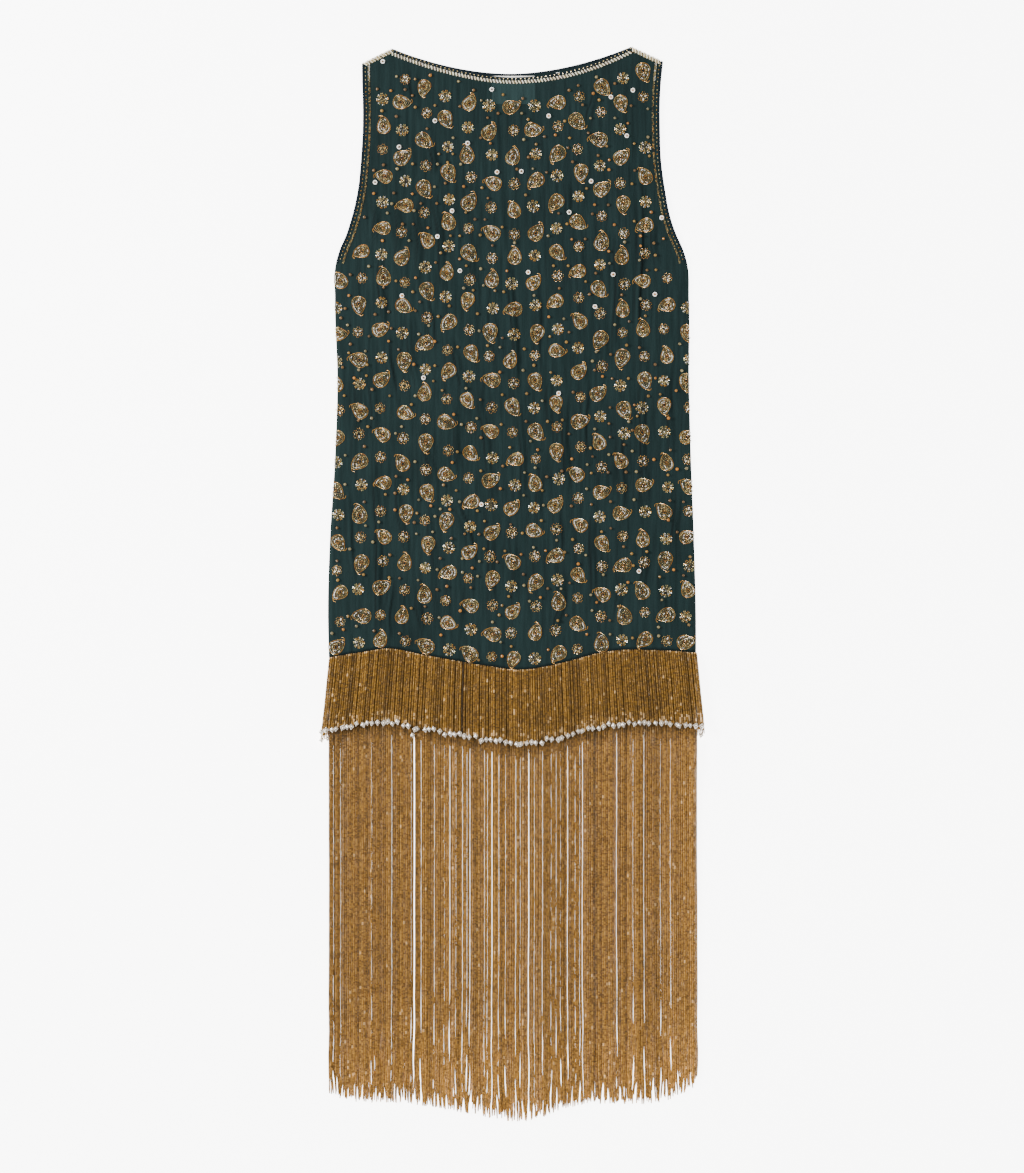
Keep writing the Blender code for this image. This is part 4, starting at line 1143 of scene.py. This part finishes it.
def embroidery(seed, dip, shape):
    """All motif beads of one panel, listed by motif and bead."""
    rng = random.Random(seed)
    beads = {"paisley_seed": [], "paisley_bugle": [], "flower_seed": [], "flower_bugle": []}
    sites = motif_sites()
    centres = np.array([site[:2] for site in sites])
    to_trim = distance_to(centres, TRIM_PATHS)
    inside = on_panel(centres, dip, shape, -0.006)
    for (x, y, kind, turn), clear, keep in zip(sites, to_trim, inside):
        reach = PAISLEY_LENGTH / 2 if kind == "paisley" else FLOWER_WIDTH / 2
        if not keep or clear < reach + MOTIF_TRIM_GAP:
            continue
        size = rng.uniform(0.92, 1.06)
        motif = paisley_beads(rng) if kind == "paisley" else flower_beads(rng, rng.random() < 0.5)
        for form, own in motif.items():
            beads[f"{kind}_{form}"] += [placed(bead, x, y, turn, size) for bead in own]
    for group in beads:
        flat = np.array([(bead.x, bead.y) for bead in beads[group]])
        kept = on_panel(flat, dip, shape, -0.0006)
        beads[group] = [bead for bead, keep in zip(beads[group], kept) if keep]
    return beads


# Fringe

def strand_paths(xs, closing, ends, stations, rng, flare, wander, clumped):
    """Sideways places and drops along each strand: arrays of strands by stations."""
    drop = ends[:, None] * np.linspace(0.0, 1.0, stations + 1)[None, :]
    reach = drop / (0.6 if clumped else 0.1)
    x = xs[:, None] * (1 + (flare - 1) * reach)
    x = x + closing[:, None] * (1 - smoothstep(*SLIT_OPENS, drop))
    for sway in SWAYS:
        phase = 2 * math.pi * drop / sway.length + sway.drift * xs[:, None]
        x = x + wander * sway.share * reach * np.sin(phase)
    own = rng.uniform(0, 2 * math.pi, (len(xs), 1))
    x = x + 0.00002 * np.sin(2 * math.pi * drop / 0.047 + own)
    if clumped:
        loose = smoothstep(0.68, 1.0, reach)
        drift = 2.2 * np.sin(xs * 61.0) + 1.6 * np.sin(xs * 173.0 + 1.0)
        drift = drift + rng.normal(0, 0.35, len(xs))
        x = x + 0.0007 * loose * np.sin(2 * math.pi * drop / 0.085 + drift[:, None])
        x = x + 0.0001 * loose * np.sin(2 * math.pi * drop / 0.021 + own)
        group = np.cumsum(rng.random(len(xs)) < 0.42)
        centre = np.array([xs[group == number].mean() for number in group])
        lean = (centre - xs) * rng.uniform(0.0, 0.6, len(xs)) + rng.normal(0, 0.0009, len(xs))
        x = x + lean[:, None] * (1 - smoothstep(0.0, 0.030, ends[:, None] - drop))
    return x, drop


def strand_object(name, paths, roots, heights, rng, tone_and_shade, glint, material):
    """Joins a tier's strands: four-sided tubes that swell and turn a little from bead to bead."""
    x, drop = paths
    strands, sections = x.shape
    z = heights(drop) + rng.normal(0, 0.00012, x.shape)
    centre = np.stack([x, roots[:, None] - drop, z], axis=2)
    size = STRAND_RADIUS * rng.uniform(0.98, 1.03, x.shape)
    size[:, -1] *= 0.6
    twist = rng.uniform(-0.2, 0.2, x.shape)
    rings = []
    for corner in range(STRAND_CORNERS):
        turn = twist + 2 * math.pi * corner / STRAND_CORNERS
        offset = np.stack([np.cos(turn) * size, np.zeros_like(size), np.sin(turn) * size], axis=2)
        rings.append(centre + offset)
    rings = np.stack(rings, axis=2)
    index = np.arange(x.size * STRAND_CORNERS).reshape(strands, sections, STRAND_CORNERS)
    faces = [tube_faces(index), index[:, 0, ::-1], index[:, -1]]
    item = mesh_object(name, rings.reshape(-1, 3), faces, material)
    numbers = {
        "bead_count": drop / BEAD_LENGTH + rng.uniform(0, 1, strands)[:, None],
        "strand": np.arange(strands)[:, None] + np.zeros_like(drop),
        "tone_and_shade": tone_and_shade(x, drop) * rng.normal(1.0, 0.20, strands).clip(0.5, 1.6)[:, None],
        "glint": glint(drop),
    }
    for label, values in numbers.items():
        add_number(item, label, np.repeat(values.ravel(), STRAND_CORNERS))
    return item


def strand_xs(rng, slits, pitch=STRAND_PITCH, jitter=0.16):
    """A front tier's strands, edge to edge from slit to slit, and those of the tier behind it.

    Each is a row of its place and of how far it moves at the top to close the slit beside it.
    """
    lefts = [-FRINGE_HALF_WIDTH] + [slit.x + slit.width / 2 for slit in slits]
    rights = [slit.x - slit.width / 2 for slit in slits] + [FRINGE_HALF_WIDTH]
    shifts = [0.0] + [slit.width / 2 + SLIT_OVERLAP for slit in slits] + [0.0]
    front, back = [], []
    for left, right, to_left, to_right in zip(lefts, rights, shifts[:-1], shifts[1:]):
        room = right - left - 2 * STRAND_RADIUS
        count = max(1, math.ceil(room / pitch) + 1)
        if count == 1:
            front.append(np.array([((left + right) / 2, 0.0)]))
            continue
        places = np.linspace(left + STRAND_RADIUS, right - STRAND_RADIUS, count)
        places[1:-1] += rng.uniform(-jitter, jitter, count - 2) * pitch
        strands = np.stack([places, np.linspace(-to_left, to_right, count)], axis=1)
        front.append(strands)
        back.append((strands[1:] + strands[:-1]) / 2)
    return np.concatenate(front), np.concatenate(back)


# A crystal's rings from back to front: share of its width, height, and how far it takes the
# painted see-through brown instead of the painted white highlight
CrystalRing = namedtuple("CrystalRing", "share height core")
CRYSTAL_RINGS = (
    CrystalRing(0.45, -1.0, 0.0), CrystalRing(1.00, -0.1, 0.0), CrystalRing(0.76, 0.55, 0.0),
    CrystalRing(0.68, 0.72, 1.0), CrystalRing(0.34, 0.90, 1.0), CrystalRing(0.22, 1.0, 0.0),
)
# How far out its corners reach, from the point at the bottom round
CRYSTAL_OUTLINE = (1.34, 0.78, 1.02, 0.76, 1.12, 0.76, 1.02, 0.78)


def crystal_object(name, places, material):
    """Joins cut crystals, kite-shaped with the point down, each a little turned."""
    rng = np.random.default_rng(CRYSTAL_SEED)
    outline = np.array(CRYSTAL_OUTLINE)
    corners = len(outline)
    angle = -math.pi / 2 + 2 * math.pi * np.arange(corners) / corners
    points = []
    for centre in places:
        size = rng.uniform(0.90, 1.08)
        turn = angle + rng.uniform(-0.35, 0.35)
        off = rng.uniform(-0.12, 0.12, 2)
        for ring in CRYSTAL_RINGS:
            reach = CRYSTAL_RADIUS * size * ring.share * outline
            shift = off * CRYSTAL_RADIUS * max(ring.height, 0.0)
            x = centre[0] + shift[0] + reach * np.cos(turn)
            y = centre[1] + shift[1] + reach * np.sin(turn)
            z = np.full(corners, centre[2] + CRYSTAL_DEPTH * ring.height)
            points += list(zip(x, y, z))
    index = np.arange(len(points)).reshape(len(places), len(CRYSTAL_RINGS), corners)
    caps = np.stack([index[:, 0, ::-1], index[:, -1]], axis=1).reshape(-1, corners)
    cores = np.tile(np.repeat([ring.core for ring in CRYSTAL_RINGS], corners), len(places))
    item = mesh_object(name, np.array(points), [tube_faces(index), caps], material)
    add_number(item, "core", cores)
    return item


# Pieces


def sweep_object(name, path, heights, half_width, half_height, material, seed):
    """A closed soft roll along a path, its section a rounded rectangle."""
    rng = np.random.default_rng(seed)
    corners = 12
    turn = np.linspace(0, 2 * math.pi, corners, endpoint=False)
    wide = np.sign(np.cos(turn)) * np.abs(np.cos(turn)) ** 0.6
    tall = np.sign(np.sin(turn)) * np.abs(np.sin(turn)) ** 0.6
    across = inward(path)
    ripple = 1 + 0.07 * np.sin(np.arange(len(path)) * 1.9 + rng.uniform(0, 6, len(path)) * 0.3)
    flat = path[:, None, :] + across[:, None, :] * (wide * half_width)[None, :, None]
    z = heights[:, None] + tall[None, :] * half_height * ripple[:, None]
    rings = np.concatenate([flat, z[:, :, None]], axis=2)
    index = np.arange(len(path) * corners).reshape(len(path), corners)
    faces = [tube_faces(index, flip=True), index[:1], index[-1:, ::-1]]
    return mesh_object(name, rings.reshape(-1, 3), faces, material, smooth=True)


def dress(item, slot, *nodes):
    """Ties a piece to the one body and hides the solids that it stands for; the material slot is
    not used.
    """
    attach(item, "root")
    if nodes:
        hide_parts(*nodes)
    return item


def make_cloths(crepe, back_crepe):
    """The front and back cloths, the front with painted shade beside its creases and along its
    hem.
    """
    flat = panel_grid(*FRONT_GRID, FRONT_NECK_DIP, FRONT_NECK_SHAPE)
    upper = dressed_grid(flat, front_surface)
    lower = upper - (0.0, 0.0, CLOTH_THICKNESS)
    front = shell_object("front_cloth", upper, lower, crepe)
    points = flat.reshape(-1, 2)
    # Painted shade along the hem, joined with the painted shade beside the creases
    from_hem = hem_drop(points[:, 0]) - (TOP_Y - points[:, 1])
    at_hem = HEM_SHADE * (1 - smoothstep(*HEM_SHADE_ENDS, from_hem))
    add_number(front, "crease", np.tile(np.maximum(crease_shade(points), at_hem), 2))
    flat = panel_grid(*BACK_GRID, BACK_NECK_DIP, BACK_NECK_SHAPE)
    upper = dressed_grid(flat, back_surface, CLOTH_THICKNESS)
    lower = dressed_grid(flat, back_surface)
    back = shell_object("back_cloth", upper, lower, back_crepe)
    return dress(front, "crepe", "front_panel"), dress(back, "crepe", "back_panel")


def make_bindings(material):
    """Rolled edges round the neck and the armholes, front and back."""
    half = BINDING_WIDTH / 2
    for layer, dip, shape in (
        ("front", FRONT_NECK_DIP, FRONT_NECK_SHAPE), ("back", BACK_NECK_DIP, BACK_NECK_SHAPE)
    ):
        edges = {
            f"{layer}_neck": neck_path(dip, shape),
            f"left_{layer}_armhole": armhole_path(-1),
            f"right_{layer}_armhole": armhole_path(1),
        }
        for number, (name, edge) in enumerate(edges.items()):
            path = inset(edge, half)
            if layer == "front":
                heights, thick = front_face(path) - FRONT_BINDING_SINK, FRONT_BINDING_HALF
            else:
                heights, thick = np.full(len(path), BACK_BINDING_Z), BACK_BINDING_HALF
            item = sweep_object(name + "_roll", path, heights, half, thick, material, number)
            dress(item, "binding", name + "_binding")


def make_label(name, extent, node, material):
    """A thin woven tab with a soft wave and folded ends."""
    left, right, top, bottom = extent
    columns, rows = 40, 24
    x = np.linspace(left, right, columns + 1)[None, :] * np.ones((rows + 1, 1))
    y = (TOP_Y - np.linspace(bottom, top, rows + 1))[:, None] * np.ones((1, columns + 1))
    wave = 0.00012 * np.sin((x - left) * 190.0) * np.sin((y - TOP_Y) * 140.0)
    low = BACK_WALL + 0.00012
    from_end = np.minimum(x - left, right - x)
    fold = 0.00016 * (1 - smoothstep(0.0015, 0.0025, from_end))
    lower = np.stack([x, y, low + np.maximum(wave, -0.00008)], axis=2)
    zero = np.zeros_like(x)
    upper = lower + np.stack([zero, zero, LABEL_THICKNESS * 0.8 + fold], axis=2)
    dress(shell_object(name, upper, lower, material), "label", node)


def rope_beads(path, rng, rope):
    """Beads of a rope that follows an edge."""
    points, tangents = along(inset(path, sum(rope.band) / 2), rope.spacing, ROPE_ENDS)
    beads = []
    for number, ((x, y), (tx, ty)) in enumerate(zip(points, tangents)):
        angle = math.atan2(ty, tx) - rope.lean + rng.uniform(-0.12, 0.12)
        colour = tint(rng, rope.colours[number % len(rope.colours)])
        thin = number % 2
        width = ROPE_BEAD_WIDTH - ROPE_THINNER * thin
        beads.append(Bead(x, y, ROPE_LIFT - ROPE_LOWER * thin, angle, rope.length, width, colour))
    return beads


def seed_beads(path, rng, *rows):
    """Beads of one or more rows of seeds that follow an edge."""
    beads = []
    for row in rows:
        points, tangents = along(inset(path, row.distance), row.spacing, row.ends)
        for (x, y), (tx, ty) in zip(points, tangents):
            x = x + rng.uniform(-SEED_JITTER, SEED_JITTER)
            y = y + rng.uniform(-SEED_JITTER, SEED_JITTER)
            colour = tint(rng, rng.choice(row.colours))
            angle = math.atan2(ty, tx)
            beads.append(Bead(x, y, row.lift, angle, row.size * 1.15, row.size, colour))
    return beads


def pale_at_top(bead, rng):
    """The armhole's bead row is paler for a short way below the shoulder."""
    if TOP_Y - bead.y < PALE_BELOW_SHOULDER:
        return bead._replace(colour=tint(rng, rng.choice((SILVER, CREAM))))
    return bead


def under_back(beads):
    """Beads moved to the back's outer face, pressed flat under the cloth."""
    return [bead._replace(lift=0.0, width=min(bead.width, 0.0014)) for bead in beads]


def back_bead_surface(points):
    return np.full(len(points), BACK_BEAD_Z)


def dressed_beads(name, beads, surface, kind, glass, *nodes):
    """A piece of small beads on the one body, the solids that it stands for hidden."""
    return dress(bead_object(name, beads, surface, kind, glass), "trim_beads", *nodes)


def make_trims(glass):
    """Bead rows round the neck, over the shoulders and round the armholes."""
    rng = random.Random(FRONT_TRIM_SEED)
    neck = neck_path(FRONT_NECK_DIP, FRONT_NECK_SHAPE)
    rope = rope_beads(neck, rng, NECK_ROPE)
    made = [
        dressed_beads("neck_rope_beads", rope, front_surface, "bugle", glass, "neck_bead_band")
    ]
    dots = seed_beads(neck, rng, NECK_DOTS)
    for side, word in ((-1, "left"), (1, "right")):
        for edge, kind in (("shoulder", "bugle"), ("armhole", "seed")):
            if edge == "shoulder":
                path, more_dots = shoulder_path(side), SHOULDER_DOTS
                beads = rope_beads(path, rng, SHOULDER_ROPE)
            else:
                path, more_dots = armhole_path(side), ARMHOLE_DOTS
                rows = seed_beads(path, rng, *ARMHOLE_ROWS)
                beads = [pale_at_top(bead, rng) for bead in rows]
            made.append(dressed_beads(
                f"{word}_{edge}_beads", beads, front_surface, kind, glass,
                f"{word}_{edge}_bead_band",
            ))
            dots += seed_beads(path, rng, more_dots)
    made.append(dressed_beads("edge_dots", dots, front_surface, "seed", glass))
    return made


def make_back_trims(glass):
    """The same bead rows on the back's outer face, pressed under the cloth."""
    rng = random.Random(BACK_TRIM_SEED)
    rows = rope_beads(neck_path(BACK_NECK_DIP, BACK_NECK_SHAPE), rng, NECK_ROPE)
    for side in (-1, 1):
        rows += rope_beads(shoulder_path(side), rng, BACK_SHOULDER_ROPE)
        rows += seed_beads(armhole_path(side), rng, *BACK_ARMHOLE_ROWS)
    return dressed_beads("back_trim_beads", under_back(rows), back_bead_surface, "bugle", glass)


def make_motifs(layer, groups, surface, glass):
    """A panel's motif beads, one piece for each kind of motif and of bead."""
    return [
        dressed_beads(f"{layer}_{group}s", beads, surface, group.split("_")[1], glass)
        for group, beads in groups.items()
    ]


def motif_reaches():
    """Every motif's centre, and how far single beads stay from it."""
    sites = motif_sites()
    reaches = [LOOSE_MOTIF_GAPS[site[2]] for site in sites]
    return np.array([site[:2] for site in sites]), np.array(reaches)


def sequin_places():
    """The sequins' places, each moved clear of the motifs beside it."""
    centres, reaches = motif_reaches()
    reaches = reaches + SEQUIN_MOTIF_GAP
    places = np.array([(sequin.x, TOP_Y - sequin.drop) for sequin in SEQUINS])
    for _ in range(8):
        for place in places:
            away = place - centres
            gap = np.linalg.norm(away, axis=1)
            nearest = np.argmin(gap - reaches)
            if gap[nearest] < reaches[nearest]:
                place += away[nearest] / gap[nearest] * (reaches[nearest] - gap[nearest])
    return places


def loose_places():
    """Places between the motifs for single beads."""
    rng = random.Random(LOOSE_SEED)
    centres, reaches = motif_reaches()
    sequins = sequin_places()
    found = []
    tries = 0
    while len(found) < LOOSE_COUNT and tries < LOOSE_TRIES:
        tries += 1
        point = np.array([rng.uniform(-0.24, 0.24), TOP_Y - rng.uniform(0.03, 0.81)])
        if not on_panel(point[None], FRONT_NECK_DIP, FRONT_NECK_SHAPE, LOOSE_EDGE_GAP)[0]:
            continue
        if distance_to(point[None], TRIM_PATHS)[0] < LOOSE_TRIM_GAP:
            continue
        if np.any(np.linalg.norm(centres - point, axis=1) < reaches):
            continue
        if np.any(np.linalg.norm(sequins - point, axis=1) < LOOSE_SEQUIN_GAP):
            continue
        if found and np.min(np.linalg.norm(np.array(found) - point, axis=1)) < LOOSE_SPACING:
            continue
        found.append(point)
    return found


def round_bead_object(name, places, surface, radius, colours, material, seed):
    """Joins faceted round beads, each a ball of three rings between two points."""
    rng = random.Random(seed)
    places = np.array(places)
    z = surface(places) + radius * 0.8
    sides, points, faces, shades = ROUND_SIDES, [], [], []
    for (x, y), height in zip(places, z):
        size = radius * rng.uniform(0.85, 1.1)
        shade = tint(rng, rng.choice(colours), 0.3)
        turn = rng.uniform(0, 1)
        base = len(points)
        points += [(x, y, height + size), (x, y, height - size)]
        for level in ROUND_LEVELS:
            ring = size * math.sqrt(1 - level * level)
            for side in range(sides):
                angle = 2 * math.pi * (side + turn + (0.5 if level == 0 else 0)) / sides
                points.append((
                    x + ring * math.cos(angle), y + ring * math.sin(angle), height + size * level
                ))
        for side in range(sides):
            after = (side + 1) % sides
            a, b = base + 2 + side, base + 2 + after
            c, d = a + sides, b + sides
            e, f = c + sides, d + sides
            faces += [(base, a, b), (a, c, b), (b, c, d), (c, e, d), (d, e, f), (base + 1, f, e)]
        shades += [shade] * (2 + 3 * sides)
    item = mesh_object(name, np.array(points), [np.array(faces)], material)
    add_colour(item, "bead_colour", np.array(shades))
    return item


def make_loose_beads(glass):
    """Single round beads between the motifs."""
    item = round_bead_object(
        "single_beads", loose_places(), front_surface, SINGLE_RADIUS, SINGLE_TONES, glass,
        SINGLE_SEED,
    )
    return [dress(item, "trim_beads")]


def make_sequins(white, glass):
    """Flat round sequins, cupped a little, each held by one bead."""
    rng = random.Random(SEQUIN_SEED)
    sides, rings = SEQUIN_SIDES, len(SEQUIN_SECTION)
    places = sequin_places()
    points, faces = [], []
    for (x, y), height in zip(places, front_surface(places)):
        lean, base = rng.uniform(0, 2 * math.pi), len(points)
        for radius, level in SEQUIN_SECTION:
            reach = radius * SEQUIN_RADIUS
            for side in range(sides):
                turn = 2 * math.pi * side / sides
                z = height + level + SEQUIN_TILT * radius * math.cos(turn - lean)
                points.append((x + reach * math.cos(turn), y + reach * math.sin(turn), z))
        for ring in range(rings):
            low, high = base + ring * sides, base + (ring + 1) % rings * sides
            for side in range(sides):
                after = (side + 1) % sides
                faces.append((low + side, high + side, high + after, low + after))
    discs = mesh_object("sequins", np.array(points), [np.array(faces)], white)
    beads = round_bead_object(
        "sequin_beads", places, lambda at: front_surface(at) + SEQUIN_BEAD_LIFT,
        SEQUIN_BEAD_RADIUS, (AMBER, BROWN), glass, SEQUIN_BEAD_SEED,
    )
    return [dress(discs, "trim_beads"), dress(beads, "trim_beads")]


def make_long_tier(tier, strands, rng, material):
    """One long tier, with painted shade under the short tier and paler towards its ends."""
    xs, closing = strands.T
    roots = TOP_Y - hem_drop(xs) + FRINGE_TUCK
    ends = smooth_values(FRINGE_END_ROWS, "x", "drop", xs) - (TOP_Y - roots)
    ends = ends - np.abs(rng.normal(0, 0.006, len(xs)))
    paths = strand_paths(
        xs, closing, ends, tier.sections, rng, LONG_FLARE, LONG_WANDER, clumped=True
    )
    keys = (0.0, 0.055, BACK_CRYSTAL_DROP, LANDING_DROP, 0.26, 0.65)
    heights = (
        tier.root_z, tier.root_z + 0.0014, tier.hump_z, tier.rest_z + 0.0003, tier.rest_z,
        tier.rest_z,
    )
    item = strand_object(
        f"{tier.layer}_long_strands", paths, roots,
        lambda drop: smooth_curve(keys, heights, drop), rng,
        # Painted shade: darker where the short tier hangs over the strands; lighter towards their
        # ends
        lambda x, drop: 0.30 + 0.70 * smoothstep(tier.cover - 0.010, tier.cover + 0.034, drop)
        + 0.40 * smoothstep(0.42, 0.60, drop),
        lambda drop: np.full_like(drop, GLINTS), material,
    )
    dress(item, "pale_gold_beads", f"{tier.layer}_long_fringe")


def make_short_tier(tier, strands, rng, material):
    """One short tier, with painted glints under the hem and above the crystals."""
    xs, closing = strands.T
    length = tier.length
    roots = TOP_Y - hem_drop(xs) + FRINGE_TUCK
    ends = np.full(len(xs), length + FRINGE_TUCK) + rng.normal(0, 0.0008, len(xs))
    paths = strand_paths(
        xs, closing, ends, tier.sections, rng, SHORT_FLARE, SHORT_WANDER, clumped=False
    )
    keys = (0.0, 0.012, length)
    heights = (tier.root_z, tier.root_z + 0.0010, tier.crystal_z)

    def tone_and_shade(x, drop):
        in_slit = np.abs(x[:, :1] - DARK_SLIT_X) < DARK_SLIT_HALF
        return 1.0 - 0.85 * in_slit * np.ones_like(drop)

    def glint(drop):
        # Painted highlights: more glints on the beads just above the crystal and on the first bead
        # under the hem
        near_crystal = smoothstep(length - 0.020, length - 0.006, drop)
        return GLINTS + 0.16 * near_crystal + 0.45 * (drop < 0.0026)

    item = strand_object(
        f"{tier.layer}_short_strands", paths, roots,
        lambda drop: smooth_curve(keys, heights, drop), rng, tone_and_shade, glint, material,
    )
    dress(item, "gold_beads", f"{tier.layer}_short_fringe")


def make_crystals(tier, rng, material):
    """The row of crystals under a short tier, a few of them a little high or low."""
    xs = np.arange(-FRINGE_HALF_WIDTH, FRINGE_HALF_WIDTH, CRYSTAL_PITCH)
    xs = xs + rng.normal(0, 0.0008, len(xs))
    stray = rng.choice(CRYSTAL_STRAYS, len(xs))
    places = np.stack([
        xs * SHORT_FLARE,
        TOP_Y - hem_drop(xs) - tier.length - 0.001 - stray,
        tier.crystal_z + rng.uniform(-0.0006, 0.0006, len(xs)),
    ], axis=1)
    for x, drop in tier.strays:
        places = np.vstack([places, (x, TOP_Y - drop, tier.crystal_z)])
    dress(crystal_object(f"{tier.layer}_crystals", places, material), "gold_beads")


def make_fringe(gold, pale_gold, crystal):
    """All tiers; the back long tier's strands lie between those of the front one."""
    rng = np.random.default_rng(FRINGE_SEED)
    front_long, back_long = strand_xs(rng, SLITS)
    front_short, _ = strand_xs(rng, ())
    back_short, _ = strand_xs(rng, (), BACK_SHORT_PITCH, 0.0)
    for tier, strands in zip(LONG_TIERS, (back_long, front_long)):
        make_long_tier(tier, strands, rng, pale_gold)
    for tier, strands in zip(SHORT_TIERS, (back_short, front_short)):
        make_short_tier(tier, strands, rng, gold)
    for tier in SHORT_TIERS:
        make_crystals(tier, rng, crystal)


# Scene


def make_floor():
    bpy.ops.mesh.primitive_grid_add(
        x_subdivisions=8, y_subdivisions=8, size=FLOOR_SIZE, location=(0, 0, FLOOR_Z)
    )
    floor = bpy.context.object
    floor.name = "floor"
    floor.data.materials.append(floor_material())


def make_light(lamp):
    """A round soft light that points at the middle of the dress."""
    data = bpy.data.lights.new(lamp.name, "AREA")
    data.shape = "DISK"
    data.size = lamp.size
    data.energy = lamp.power
    light = bpy.data.objects.new(lamp.name, data)
    light.location = lamp.place
    light.rotation_mode = "QUATERNION"
    light.rotation_quaternion = (-Vector(lamp.place)).to_track_quat("-Z", "Y")
    bpy.context.scene.collection.objects.link(light)


def make_camera():
    data = bpy.data.cameras.new("camera")
    data.sensor_width = SENSOR_WIDTH
    data.lens = data.sensor_width * CAMERA_HEIGHT / FRAME_HEIGHT
    camera = bpy.data.objects.new("camera", data)
    camera.location = (*AIM, CAMERA_HEIGHT)
    bpy.context.scene.collection.objects.link(camera)
    bpy.context.scene.camera = camera


def make_world():
    world = bpy.data.worlds.new("studio")
    world.use_nodes = True
    background = world.node_tree.nodes["Background"]
    background.inputs["Color"].default_value = WORLD_COLOUR
    background.inputs["Strength"].default_value = WORLD_STRENGTH
    bpy.context.scene.world = world


make_camera()
make_world()
make_floor()
for lamp in LAMPS:
    make_light(lamp)

CREPE = cloth_material("crinkled_crepe", TEAL, True, NECK_LABEL)
BACK_CREPE = cloth_material("back_crepe", TEAL, True)
BINDING = cloth_material("self_binding", NAVY, False)
LABEL = cloth_material("woven_label", IVORY, False)
GLASS = bead_material("metal_lined_glass", 0.45, 0.24, 0.5)
PLAIN_GLASS = bead_material("amber_glass", 0.1, 0.5, 0.1)
GOLD_STRAND = strand_material("antique_gold_strand", STRAND_GOLD, 0.55)
PALE_STRAND = strand_material("pale_gold_strand", STRAND_PALE, 0.62)
CRYSTAL = crystal_material()
SEQUIN_WHITE = sequin_material()

FRONT, BACK = make_cloths(CREPE, BACK_CREPE)
make_bindings(BINDING)
make_label("neck_label_cloth", NECK_LABEL, "neck_label", LABEL)
make_label("size_tab_cloth", SIZE_TAB, "size_tab", LABEL)
TRIMS = make_trims(GLASS)
BACK_TRIMS = make_back_trims(GLASS)
FRONT_BEADS = embroidery(FRONT_BEAD_SEED, FRONT_NECK_DIP, FRONT_NECK_SHAPE)
FRONT_MOTIFS = make_motifs("front", FRONT_BEADS, front_surface, GLASS)
BACK_BEADS = embroidery(BACK_BEAD_SEED, BACK_NECK_DIP, BACK_NECK_SHAPE)
BACK_BEADS = {group: under_back(beads[::2]) for group, beads in BACK_BEADS.items()}
BACK_MOTIFS = make_motifs("back", BACK_BEADS, back_bead_surface, GLASS)
SINGLES = make_loose_beads(PLAIN_GLASS)
SEQUIN_PIECES = make_sequins(SEQUIN_WHITE, PLAIN_GLASS)
make_fringe(GOLD_STRAND, PALE_STRAND, CRYSTAL)
